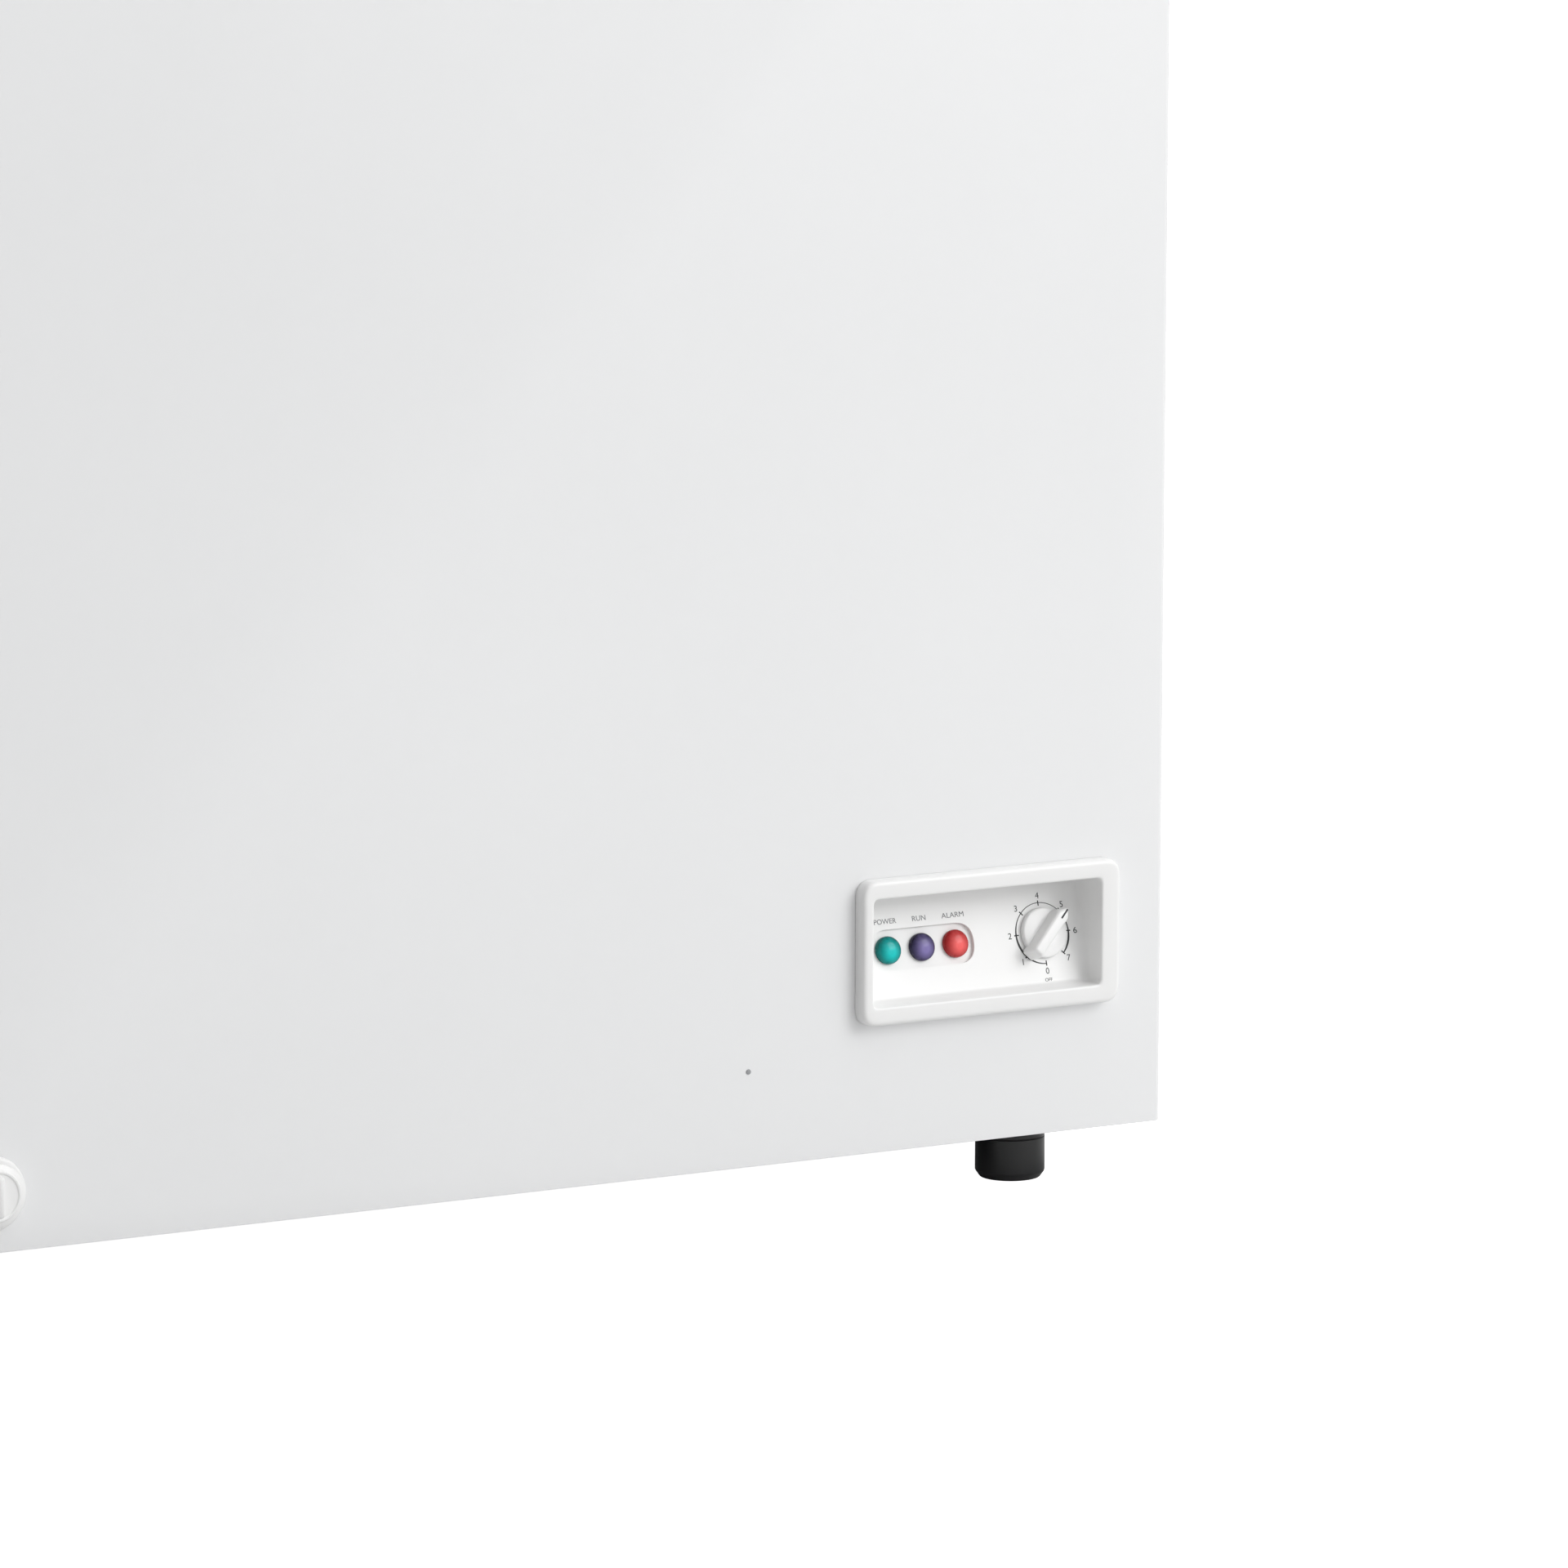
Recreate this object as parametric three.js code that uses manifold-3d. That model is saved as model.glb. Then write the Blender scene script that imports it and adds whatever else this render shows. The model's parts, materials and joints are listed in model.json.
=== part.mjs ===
// A small chest freezer, closed, in millimetres: +X right, +Y to the back, +Z up, standing on z = 0.
// Steel cabinet on four levelling feet, foamed walls round a stepped liner, a compressor bay at the right
// with a recessed control panel in front of it, and a foamed lid on two sprung hinges.
import * as THREE from "three";
import { mergeVertices } from "three/addons/utils/BufferGeometryUtils.js";
import Module from "manifold-3d";

const wasm = await Module();
wasm.setup();

// ---------------------------------------------------------------- driving dimensions
const GAP = 0.3; // air left between neighbours that touch
const SHEET = 1; // painted sheet steel
const CABINET = { halfX: 410, halfY: 260, bottom: 29, top: 790, flange: 22, cornerR: 4 };
const LINER = { halfX: 352, halfY: 202, floor: 112, top: 779, wall: 1, cornerR: 22, stepX: 116, stepZ: 352 };
const BAY = { wallX: 167, ceiling: 300 }; // compressor bay, right of wallX and under ceiling
const LID = { halfX: 413, front: -264, back: 262, bottom: 796, top: 850, cornerR: 20, pan: 797, plate: 804 };
const HINGE = { x: 250, pivotY: 276, pivotZ: 798, pinR: 4, cheekX: 16, bottomZ: 650, topZ: 786, backY: 290 };
const CAM = { radius: 10, offset: 4, angle: (-140 * Math.PI) / 180 }; // eccentric that loads the spring
const FOOT = { x: 349, y: 218, padR: 17.6, padTop: 26, studR: 5, studTop: 62, bossR: 10, bossTop: 52 };
const PANEL = { x0: 233.5, x1: 380.5, z0: 92.4, z1: 163.4, front: -268, cornerR: 8 }; // control bezel
const RECESS = { x0: 239.5, x1: 369.5, z0: 101.5, z1: 154.5, depthLow: 12, depthHigh: 27.5, wall: 2 };
const FACE_THICK = 4.5;
const FACE_ROW = { lamps: -2.6, knob: -1.9 }; // heights of the lamps and the knob from the middle of the face
const LAMP = { spacing: 19.2, firstX: 259.4, radius: 7, holeR: 5.3, pocketR: 10, pocketDeep: 2 };
const KNOB = { x: 347.2, discR: 13, discThick: 3, gripLong: 31, gripWide: 6, gripTall: 11, pointsAt: 45 };
const DRAIN = { x: -230, z: 57, y: -150, pipeR: 11, boreR: 9.3, flangeR: 18, dialR: 15 };
const BASKET = { x0: 128, x1: 340, halfY: 192, z0: 570, z1: 786, wire: 2 };
const COMPRESSOR = { x: 290, y: 70, shellR: 72, stretch: 1.2, wall: 3, seamZ: 120, topZ: 215, bottomZ: 49 };

// ---------------------------------------------------------------- materials
const paint = (color, roughness, metalness) => new THREE.MeshStandardMaterial({ color, roughness, metalness });
const WHITE_PAINT = paint(0xf0f0f0, 0.32, 0.0);
const LINER_PAINT = paint(0xe9ecee, 0.45, 0.1);
const ZINC = paint(0xa9adb0, 0.45, 0.8);
const WHITE_PLASTIC = paint(0xf2f2f1, 0.4, 0.0);
const FOAM = paint(0xe6d9a8, 0.95, 0.0);
const COPPER = paint(0xb8713f, 0.35, 0.9);
const BLACK_PAINT = paint(0x16171a, 0.4, 0.2);
const BLACK_PLASTIC = paint(0x0a0a0b, 0.5, 0.0);
const RUBBER = paint(0x1b1b1c, 0.85, 0.0);
const SEAL = paint(0xd9dadb, 0.7, 0.0);
const STEEL = paint(0xb9bcbf, 0.35, 0.9);
const GREEN_LENS = paint(0x00a08c, 0.15, 0.0);
const BLUE_LENS = paint(0x4b4180, 0.15, 0.0);
const RED_LENS = paint(0xd23a3c, 0.15, 0.0);

// ---------------------------------------------------------------- solid making
// A three.js geometry as a manifold solid; triangles that close up to nothing on an axis are dropped.
function solid(geometry) {
  const bare = geometry.index ? geometry.toNonIndexed() : geometry.clone();
  const points = new THREE.BufferGeometry().setAttribute("position", bare.getAttribute("position"));
  const merged = mergeVertices(points, 1e-3);
  const corners = merged.index.array;
  const kept = [];
  for (let i = 0; i < corners.length; i += 3) {
    const [a, b, c] = corners.slice(i, i + 3);
    if (a !== b && b !== c && c !== a) kept.push(a, b, c);
  }
  return new wasm.Manifold(
    new wasm.Mesh({
      numProp: 3,
      vertProperties: new Float32Array(merged.attributes.position.array),
      triVerts: new Uint32Array(kept),
    }),
  );
}
const join = (first, ...others) => others.reduce((whole, piece) => whole.add(piece), first);
const cut = (first, ...others) => others.reduce((whole, piece) => whole.subtract(piece), first);

// A solid as a named mesh with its material.
function mesh(name, shape, material) {
  const { vertProperties, triVerts, numProp } = shape.getMesh();
  const geometry = new THREE.BufferGeometry();
  const buffer = new THREE.InterleavedBuffer(vertProperties, numProp);
  geometry.setAttribute("position", new THREE.InterleavedBufferAttribute(buffer, 3, 0));
  geometry.setIndex(new THREE.BufferAttribute(triVerts, 1));
  const plain = geometry.toNonIndexed();
  plain.computeVertexNormals();
  const made = new THREE.Mesh(plain, material);
  made.name = name;
  return made;
}

// A box between two corners.
function block(x0, x1, y0, y1, z0, z1) {
  const box = new THREE.BoxGeometry(x1 - x0, y1 - y0, z1 - z0);
  return solid(box.translate((x0 + x1) / 2, (y0 + y1) / 2, (z0 + z1) / 2));
}

// A rectangle with round corners, as a shape in its own plane.
function roundedRectangle(a0, a1, b0, b1, r) {
  const shape = new THREE.Shape();
  shape.moveTo(a0 + r, b0).lineTo(a1 - r, b0).absarc(a1 - r, b0 + r, r, -Math.PI / 2, 0);
  shape.lineTo(a1, b1 - r).absarc(a1 - r, b1 - r, r, 0, Math.PI / 2);
  shape.lineTo(a0 + r, b1).absarc(a0 + r, b1 - r, r, Math.PI / 2, Math.PI);
  return shape.lineTo(a0, b0 + r).absarc(a0 + r, b0 + r, r, Math.PI, 1.5 * Math.PI);
}

// An upright prism with a rounded rectangle as its plan.
function prism(x0, x1, y0, y1, z0, z1, r, curveSegments = 3) {
  const shape = roundedRectangle(x0, x1, y0, y1, r);
  return solid(
    new THREE.ExtrudeGeometry(shape, { depth: z1 - z0, bevelEnabled: false, curveSegments }).translate(0, 0, z0),
  );
}

// A prism along X with its outline given as [y, z] points, or along Y with [x, z] points.
const alongX = new THREE.Matrix4().makeBasis(
  new THREE.Vector3(0, 1, 0),
  new THREE.Vector3(0, 0, 1),
  new THREE.Vector3(1, 0, 0),
);
const alongY = new THREE.Matrix4().makeBasis(
  new THREE.Vector3(1, 0, 0),
  new THREE.Vector3(0, 0, 1),
  new THREE.Vector3(0, -1, 0),
);
function extruded(outline, from, to, axis, curveSegments = 3) {
  const shape = Array.isArray(outline) ? new THREE.Shape(outline.map(([a, b]) => new THREE.Vector2(a, b))) : outline;
  const geometry = new THREE.ExtrudeGeometry(shape, { depth: to - from, bevelEnabled: false, curveSegments });
  if (axis === "x") return solid(geometry.translate(0, 0, from).applyMatrix4(alongX));
  return solid(geometry.translate(0, 0, -to).applyMatrix4(alongY));
}

// A round bar along an axis, from one coordinate to the other, centred on the two remaining coordinates.
function bar(axis, radius, from, to, a, b, sides = 18) {
  const cylinder = new THREE.CylinderGeometry(radius, radius, to - from, sides);
  const mid = (from + to) / 2;
  if (axis === "x") return solid(cylinder.rotateZ(-Math.PI / 2).translate(mid, a, b));
  if (axis === "y") return solid(cylinder.translate(a, mid, b));
  return solid(cylinder.rotateX(Math.PI / 2).translate(a, b, mid));
}

// A turned piece about a vertical axis. The profile's points are [radius, z]: out along the bottom, up the
// outside and back in over the top.
function turned(profile, segments = 24) {
  const points = profile.map(([r, z]) => new THREE.Vector2(r, z));
  return solid(new THREE.LatheGeometry(points, segments).rotateX(Math.PI / 2));
}

// A bent tube's centreline: straight runs with each bend as a few short chords.
class TubeRun extends THREE.Curve {
  constructor(corners, bendR, chords = 3) {
    super();
    this.points = [corners[0]];
    for (let i = 1; i < corners.length - 1; i++) {
      const [before, at, after] = [corners[i - 1], corners[i], corners[i + 1]];
      const into = at.clone().sub(before);
      const out = after.clone().sub(at);
      const reach = Math.min(bendR, into.length() / 2.05, out.length() / 2.05);
      const bend = new THREE.QuadraticBezierCurve3(
        at.clone().sub(into.setLength(reach)),
        at,
        at.clone().add(out.setLength(reach)),
      );
      this.points.push(...bend.getPoints(chords));
    }
    this.points.push(corners[corners.length - 1]);
  }
  getPoint(t) {
    const along = t * (this.points.length - 1);
    const i = Math.min(Math.floor(along), this.points.length - 2);
    return this.points[i].clone().lerp(this.points[i + 1], along - i);
  }
  getTangent(t) {
    const i = Math.round(t * (this.points.length - 1));
    const side = (a, b) => (this.points[a] && this.points[b] ? this.points[b].clone().sub(this.points[a]) : null);
    const sides = [side(i - 1, i), side(i, i + 1)].filter(Boolean).map((v) => v.normalize());
    return sides.reduce((sum, v) => sum.add(v), new THREE.Vector3()).normalize();
  }
  getUtoTmapping(u) {
    return u;
  }
}
function polygon(radius, sides) {
  return new THREE.Shape(
    Array.from({ length: sides }, (_, i) => {
      const angle = (2 * Math.PI * i) / sides;
      return new THREE.Vector2(radius * Math.cos(angle), radius * Math.sin(angle));
    }),
  );
}
function tube(corners, radius, bendR, sides = 8, chords = 2) {
  const run = new TubeRun(corners.map((c) => new THREE.Vector3(...c)), bendR, chords);
  const steps = run.points.length - 1;
  return solid(
    new THREE.ExtrudeGeometry(polygon(radius, sides), { steps, bevelEnabled: false, extrudePath: run }),
  );
}

// A wire wound in a helix about a vertical axis.
class Helix extends THREE.Curve {
  constructor(centre, radius, low, high, turns, startAngle) {
    super();
    Object.assign(this, { centre, radius, low, high, turns, startAngle });
  }
  getPoint(t) {
    const angle = this.startAngle + 2 * Math.PI * this.turns * t;
    const [x, y] = this.centre;
    const z = this.low + (this.high - this.low) * t;
    return new THREE.Vector3(x + this.radius * Math.cos(angle), y + this.radius * Math.sin(angle), z);
  }
}
function helix(centre, radius, low, high, turns, wireR, startAngle = 0) {
  const run = new Helix(centre, radius, low, high, turns, startAngle);
  const section = polygon(wireR, 5);
  return solid(new THREE.ExtrudeGeometry(section, { steps: turns * 8, bevelEnabled: false, extrudePath: run }));
}

// ---------------------------------------------------------------- control face: its own tilted frame
const tilt = Math.atan((RECESS.depthHigh - RECESS.depthLow) / (RECESS.z1 - RECESS.z0));
const controlFace = new THREE.Group();
controlFace.position.set(
  (RECESS.x0 + RECESS.x1) / 2,
  PANEL.front + (RECESS.depthLow + RECESS.depthHigh) / 2,
  (RECESS.z0 + RECESS.z1) / 2,
);
controlFace.rotation.x = -tilt;
controlFace.updateMatrix();
const faceX = (x) => x - controlFace.position.x;
const onFace = (shape) => shape.transform(controlFace.matrix.elements);
const lampX = [0, 1, 2].map((i) => faceX(LAMP.firstX + i * LAMP.spacing));

// ---------------------------------------------------------------- cabinet shell
function outerWrap() {
  const { halfX, halfY, bottom, top, flange, cornerR } = CABINET;
  const outside = prism(-halfX, halfX, -halfY, halfY + 40, bottom, top, cornerR, 3);
  const inX = halfX - SHEET;
  const inside = prism(-inX, inX, -halfY + SHEET, halfY + 60, bottom - 10, top - SHEET, cornerR - SHEET, 3);
  const mouth = block(-halfX + flange, halfX - flange, -halfY + flange, halfY + 60, top - 5, top + 5);
  const rear = block(-halfX - 5, halfX + 5, halfY - SHEET - GAP, halfY + 80, bottom - 10, top + 10);
  const panelHole = block(RECESS.x0 - 3, RECESS.x1 + 3, -halfY - 5, -halfY + 5, RECESS.z0 - 3, RECESS.z1 + 3);
  const drainHole = bar("y", DRAIN.pipeR + 1, -halfY - 5, -halfY + 5, DRAIN.x, DRAIN.z);
  const slots = Array.from({ length: 9 }, (_, i) => {
    const y = -120 + i * 34;
    return block(halfX - 5, halfX + 5, y - 12, y + 12, 80, 88);
  });
  const rows = [0, 24, 48].flatMap((lift) => slots.map((slot) => slot.translate([0, 0, lift])));
  return mesh("outer_wrap", cut(outside, inside, mouth, rear, panelHole, drainHole, ...rows), WHITE_PAINT);
}

// What of a shape lies inside the wrap, clear of its sheet and its rounded corners.
function insideWrap(shape) {
  const { halfX, halfY, cornerR } = CABINET;
  const off = SHEET + GAP;
  const room = prism(-halfX + off, halfX - off, -halfY + off, halfY - off, 0, 900, cornerR - off, 3);
  return shape.intersect(room);
}

function rearPanel() {
  const { halfX, halfY, bottom, top, flange } = CABINET;
  const sheet = block(-halfX, halfX, halfY - SHEET, halfY, bottom, top);
  const lip = halfX - flange - GAP;
  const topFlange = block(-lip, lip, halfY - flange, halfY, top - SHEET, top);
  const serviceHole = block(190, 395, halfY - 5, halfY + 5, 45, 285);
  return mesh("rear_panel", cut(join(sheet, topFlange), serviceHole), WHITE_PAINT);
}

function serviceCover() {
  const y = CABINET.halfY + GAP;
  const plate = block(182, 403, y, y + 1.5, 37, 293);
  const slots = [];
  for (let row = 0; row < 9; row++) {
    for (const x of [205, 305]) slots.push(block(x, x + 75, y - 5, y + 5, 130 + row * 15, 136 + row * 15));
  }
  const glandHole = bar("y", 8, y - 5, y + 5, 210, 70);
  return mesh("service_cover", cut(plate, ...slots, glandHole), ZINC);
}

function cordGland() {
  const y = CABINET.halfY;
  const body = join(bar("y", 7.6, y - 4, y + 4, 210, 70, 16), bar("y", 11, y + 2.2, y + 5, 210, 70, 16));
  const lockRing = bar("y", 11, y - 6, y - GAP, 210, 70, 16);
  return mesh("cord_gland", cut(join(body, lockRing), bar("y", 4, y - 10, y + 10, 210, 70, 16)), RUBBER);
}

// Threaded boss that takes a foot's stud, and the hole up through it.
const footBoss = (x, y) => bar("z", FOOT.bossR, CABINET.bottom, FOOT.bossTop, x, y, 16);
const footHole = (x, y) => bar("z", FOOT.studR + GAP, CABINET.bottom - 5, FOOT.bossTop + 5, x, y, 16);

function baseTray() {
  const { halfX, halfY, bottom } = CABINET;
  const x0 = -halfX + SHEET + GAP;
  const y0 = -halfY + SHEET + GAP;
  const pan = block(x0, BAY.wallX - GAP, y0, -y0, bottom, bottom + 26);
  const hollow = block(x0 + SHEET, BAY.wallX + 5, y0 + SHEET, -y0 - SHEET, bottom + SHEET, bottom + 40);
  const feet = [-FOOT.y, FOOT.y];
  const tray = join(insideWrap(cut(pan, hollow)), ...feet.map((y) => footBoss(-FOOT.x, y)));
  const drainNotch = bar("y", DRAIN.pipeR + 1, -halfY - 5, -halfY + 10, DRAIN.x, DRAIN.z);
  return mesh("base_tray", cut(tray, drainNotch, ...feet.map((y) => footHole(-FOOT.x, y))), ZINC);
}

const grommetSpots = [-58, 58].flatMap((dx) => [-78, 78].map((dy) => [COMPRESSOR.x + dx, COMPRESSOR.y + dy]));

function compressorPlate() {
  const { halfX, halfY, bottom } = CABINET;
  const y1 = halfY - SHEET - GAP;
  const x1 = halfX - SHEET - GAP;
  const plate = block(BAY.wallX + GAP, x1, -y1, y1, bottom, bottom + 2);
  const frontTurn = block(BAY.wallX + 20, x1, -y1, -y1 + 2, bottom, bottom + 22);
  const rearTurn = block(BAY.wallX + 20, x1, y1 - 2, y1, bottom, bottom + 12);
  const feet = [-FOOT.y, FOOT.y];
  const studs = grommetSpots.map(([x, y]) => bar("z", 3, bottom, bottom + 26, x, y, 12));
  const folded = insideWrap(join(plate, frontTurn, rearTurn));
  const whole = join(folded, ...feet.map((y) => footBoss(FOOT.x, y)), ...studs);
  return mesh("compressor_plate", cut(whole, ...feet.map((y) => footHole(FOOT.x, y))), ZINC);
}

function bayWall() {
  const { halfX, halfY, bottom } = CABINET;
  const y1 = halfY - SHEET - GAP;
  const x = BAY.wallX;
  const outline = [
    [x, bottom + 2 + GAP],
    [x + SHEET, bottom + 2 + GAP],
    [x + SHEET, BAY.ceiling - SHEET],
    [halfX - SHEET - GAP, BAY.ceiling - SHEET],
    [halfX - SHEET - GAP, BAY.ceiling],
    [x, BAY.ceiling],
  ];
  const flange = block(x, x + 16, -y1, -y1 + SHEET, bottom + 25, BAY.ceiling);
  return mesh("bay_wall", insideWrap(join(extruded(outline, -y1, y1, "y"), flange)), ZINC);
}

// ---------------------------------------------------------------- insulation and liner
// The stepped tub shape, grown by some margin on every side and open upwards.
function tub(grow, top, floorGrow = grow) {
  const { halfX, halfY, floor, cornerR, stepX, stepZ } = LINER;
  const body = prism(
    -halfX - grow, halfX + grow, -halfY - grow, halfY + grow, floor - floorGrow, top, cornerR + grow,
  );
  const step = block(stepX + grow, halfX + 60, -halfY - 60, halfY + 60, 0, stepZ - floorGrow);
  return cut(body, step);
}

function innerLiner() {
  const { halfX, halfY, top, wall, cornerR } = LINER;
  const rim = prism(-halfX - 13, halfX + 13, -halfY - 13, halfY + 13, top - 1, top, cornerR + 13);
  const drainHole = bar("z", 12, 90, 130, DRAIN.x, DRAIN.y);
  return mesh("inner_liner", cut(join(tub(wall, top), rim), tub(0, top + 10), drainHole), LINER_PAINT);
}

const COIL = { low: 385, high: 758, deep: 9 }; // belt round the liner that holds the evaporator tube

function foamBody() {
  const { halfX, halfY, bottom } = CABINET;
  const outX = halfX - 2.7;
  const outY = halfY - 2.7;
  const whole = block(-outX, outX, -outY + 6, outY, bottom + SHEET + GAP, LINER.top - 1 - GAP);
  const grown = LINER.wall + GAP;
  const belt = LINER.wall + COIL.deep;
  const coilBelt = prism(
    -LINER.halfX - belt, LINER.halfX + belt, -LINER.halfY - belt, LINER.halfY + belt,
    COIL.low, COIL.high, LINER.cornerR,
  );
  const bay = block(BAY.wallX - GAP, halfX, -halfY, halfY, 0, BAY.ceiling + GAP);
  const bosses = [-FOOT.y, FOOT.y].map((y) => bar("z", FOOT.bossR + 1, 0, 66, -FOOT.x, y, 16));
  const drainLow = bar("y", DRAIN.pipeR + GAP, -halfY, DRAIN.y, DRAIN.x, DRAIN.z, 16);
  const drainUp = bar("z", DRAIN.pipeR + GAP + 0.5, DRAIN.z - 12, 120, DRAIN.x, DRAIN.y, 16);
  const drainFlange = bar("z", 17, 108, 120, DRAIN.x, DRAIN.y, 16);
  const hollows = [tub(grown, LINER.top + 5), coilBelt, bay, ...bosses, drainLow, drainUp, drainFlange];
  return mesh("foam_body", cut(whole, ...hollows), FOAM);
}

function rimTrim() {
  const { halfX, halfY, flange, top } = CABINET;
  const outX = halfX - flange - GAP;
  const outY = halfY - flange - GAP;
  const inX = LINER.halfX - GAP;
  const inY = LINER.halfY - GAP;
  const plate = prism(-outX, outX, -outY, outY, LINER.top + GAP, top, 3);
  const lip = prism(-inX, inX, -inY, inY, LINER.top - 10, top, LINER.cornerR);
  const mouth = prism(-inX + 2, inX - 2, -inY + 2, inY - 2, LINER.top - 30, top + 5, LINER.cornerR - 2);
  const under = prism(-outX + 2, outX - 2, -outY + 2, outY - 2, LINER.top - 5, top - 3, 3);
  const lipWall = cut(lip, mouth);
  return mesh("rim_trim", join(cut(plate, mouth, under), lipWall), WHITE_PLASTIC);
}

function evaporatorCoil() {
  const off = LINER.wall + 4.4;
  const [x, y] = [LINER.halfX + off, LINER.halfY + off];
  const turns = 6;
  const drop = (COIL.high - COIL.low - 20) / turns;
  const corners = [[x, -y * 0.5, COIL.high - 10]];
  for (let i = 0; i < turns; i++) {
    const z = COIL.high - 10 - i * drop;
    corners.push([x, y, z - drop * 0.2], [-x, y, z - drop * 0.45], [-x, -y, z - drop * 0.7], [x, -y, z - drop]);
  }
  corners.push([x, -y * 0.4, COIL.low + 8]);
  return mesh("evaporator_coil", tube(corners, 3.5, 26, 6, 2), COPPER);
}

function condenserCoil() {
  const y = -CABINET.halfY + SHEET + 3.4;
  const rows = 7;
  const corners = [];
  for (let i = 0; i < rows; i++) {
    const z = 340 + i * 66;
    const ends = i % 2 ? [380, -380] : [-380, 380];
    corners.push([ends[0], y, z], [ends[1], y, z]);
  }
  return mesh("condenser_coil", tube(corners, 2.5, 30, 5, 3), COPPER);
}

// ---------------------------------------------------------------- compressor bay
function compressor() {
  const { x, y, shellR, stretch, wall, seamZ, topZ, bottomZ } = COMPRESSOR;
  const place = (shape) => shape.scale([1, stretch, 1]).translate([x, y, 0]);
  const r = shellR;
  const cup = turned([[0, bottomZ], [r - 22, bottomZ], [r - 4, bottomZ + 12], [r, bottomZ + 30], [r, seamZ],
    [r - wall, seamZ], [r - wall, bottomZ + 31], [r - 7, bottomZ + 15], [r - 24, bottomZ + wall],
    [0, bottomZ + wall]], 18);
  const footPlate = cut(
    prism(x - 72, x + 72, y - 92, y + 92, 45.3, bottomZ + 1, 14),
    ...grommetSpots.map(([gx, gy]) => bar("z", 3.6, 40, 60, gx, gy, 12)),
  );
  const lower = mesh("compressor_lower_shell", join(place(cup), footPlate), BLACK_PAINT);
  const R = r + 1.5;
  const dome = turned([[0, topZ - wall], [r * 0.45, topZ - wall - 3], [r * 0.8, topZ - 20], [r - wall, topZ - 42],
    [r - wall, seamZ + GAP], [R, seamZ + GAP], [R, topZ - 40], [r * 0.84, topZ - 17], [r * 0.48, topZ - 1],
    [0, topZ]], 18);
  const upper = mesh("compressor_dome", place(dome), BLACK_PAINT);
  const block1 = turned([[0, 60], [50, 60], [50, 118], [38, 122], [38, 168], [0, 168]], 16);
  const legs = [[26, 0], [-18, 22], [-18, -22]].map(([dx, dy]) => bar("z", 6, 52.4, 62, dx, dy, 8));
  const pump = mesh("compressor_pump", place(join(block1, ...legs)), STEEL);
  return [lower, upper, pump];
}

function grommets() {
  return grommetSpots.map(([x, y], i) => {
    const bush = turned([[3.3, 0], [9, 0], [9, 5], [7, 6.5], [9, 8], [9, 13.7], [3.3, 13.7], [3.3, 0]], 12);
    const made = mesh(`compressor_grommet_${i + 1}`, bush, RUBBER);
    made.position.set(x, y, CABINET.bottom + 2 + GAP);
    return made;
  });
}

function startRelay() {
  const back = COMPRESSOR.y - (COMPRESSOR.shellR + 1.5) * COMPRESSOR.stretch - GAP;
  const box = prism(COMPRESSOR.x - 24, COMPRESSOR.x + 24, back - 28, back, 84, 132, 4);
  return mesh("start_relay", box, BLACK_PLASTIC);
}

function refrigerantLines() {
  const { x, y, shellR, stretch } = COMPRESSOR;
  const side = x - shellR - 2.2;
  const rear = y + (shellR + 1.5) * stretch + 0.7;
  const top = BAY.ceiling - SHEET - GAP;
  const suction = tube([[x + 30, rear + 1, 150], [x + 30, rear + 30, 150], [x + 30, rear + 30, top]], 4, 20, 8);
  const dischargeX = side - 26;
  const discharge = tube(
    [[side, y, 100], [dischargeX, y, 100], [dischargeX, y - 60, 180], [dischargeX, y - 60, top]],
    3, 18, 8,
  );
  const drier = turned([[0, 0], [3, 0], [3, 8], [10, 18], [10, 80], [3, 90], [3, 96], [0, 96]], 12);
  const filter = mesh("filter_drier", drier, COPPER);
  filter.position.set(190, y + 130, 150);
  const coilR = 16;
  const capillary = helix([190 + coilR, y + 130], coilR, 247.8, 292, 5, 1.2, Math.PI);
  return [
    mesh("suction_tube", suction, COPPER),
    mesh("discharge_tube", discharge, COPPER),
    filter,
    mesh("capillary_tube", capillary, COPPER),
  ];
}

// ---------------------------------------------------------------- control panel
function controlHousing() {
  const { x0, x1, z0, z1, front, cornerR } = PANEL;
  const wall = RECESS.wall;
  const face = -CABINET.halfY - GAP;
  const frame = extruded(roundedRectangle(x0, x1, z0, z1, cornerR), front, face, "y", 5);
  const backY = front + RECESS.depthHigh + 8;
  const box = block(RECESS.x0 - wall, RECESS.x1 + wall, face, backY, RECESS.z0 - wall, RECESS.z1 + wall);
  const yLow = front + RECESS.depthLow;
  const yHigh = front + RECESS.depthHigh;
  const behind = FACE_THICK / Math.cos(tilt);
  const recess = [[front - 5, RECESS.z0], [yLow, RECESS.z0], [yHigh, RECESS.z1], [front - 5, RECESS.z1]];
  const rear = [
    [yLow + behind, RECESS.z0],
    [backY + 5, RECESS.z0],
    [backY + 5, RECESS.z1],
    [yHigh + behind, RECESS.z1],
  ];
  const hollow = extruded(recess, RECESS.x0, RECESS.x1, "x");
  const rearHollow = extruded(rear, RECESS.x0, RECESS.x1, "x");
  const reach = LAMP.spacing + LAMP.pocketR;
  const row = FACE_ROW.lamps;
  const pocket = extruded(
    roundedRectangle(lampX[1] - reach, lampX[1] + reach, row - LAMP.pocketR, row + LAMP.pocketR, 9.9),
    -5, LAMP.pocketDeep, "y", 5,
  );
  const holes = lampX.map((x) => bar("y", LAMP.holeR, -5, 20, x, row, 12));
  const shaftHole = bar("y", 4.3, -5, 20, faceX(KNOB.x), FACE_ROW.knob, 12);
  const cuts = [pocket, ...holes, shaftHole].map(onFace);
  return mesh("control_housing", cut(join(frame, box), hollow, rearHollow, ...cuts), WHITE_PLASTIC);
}

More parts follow.
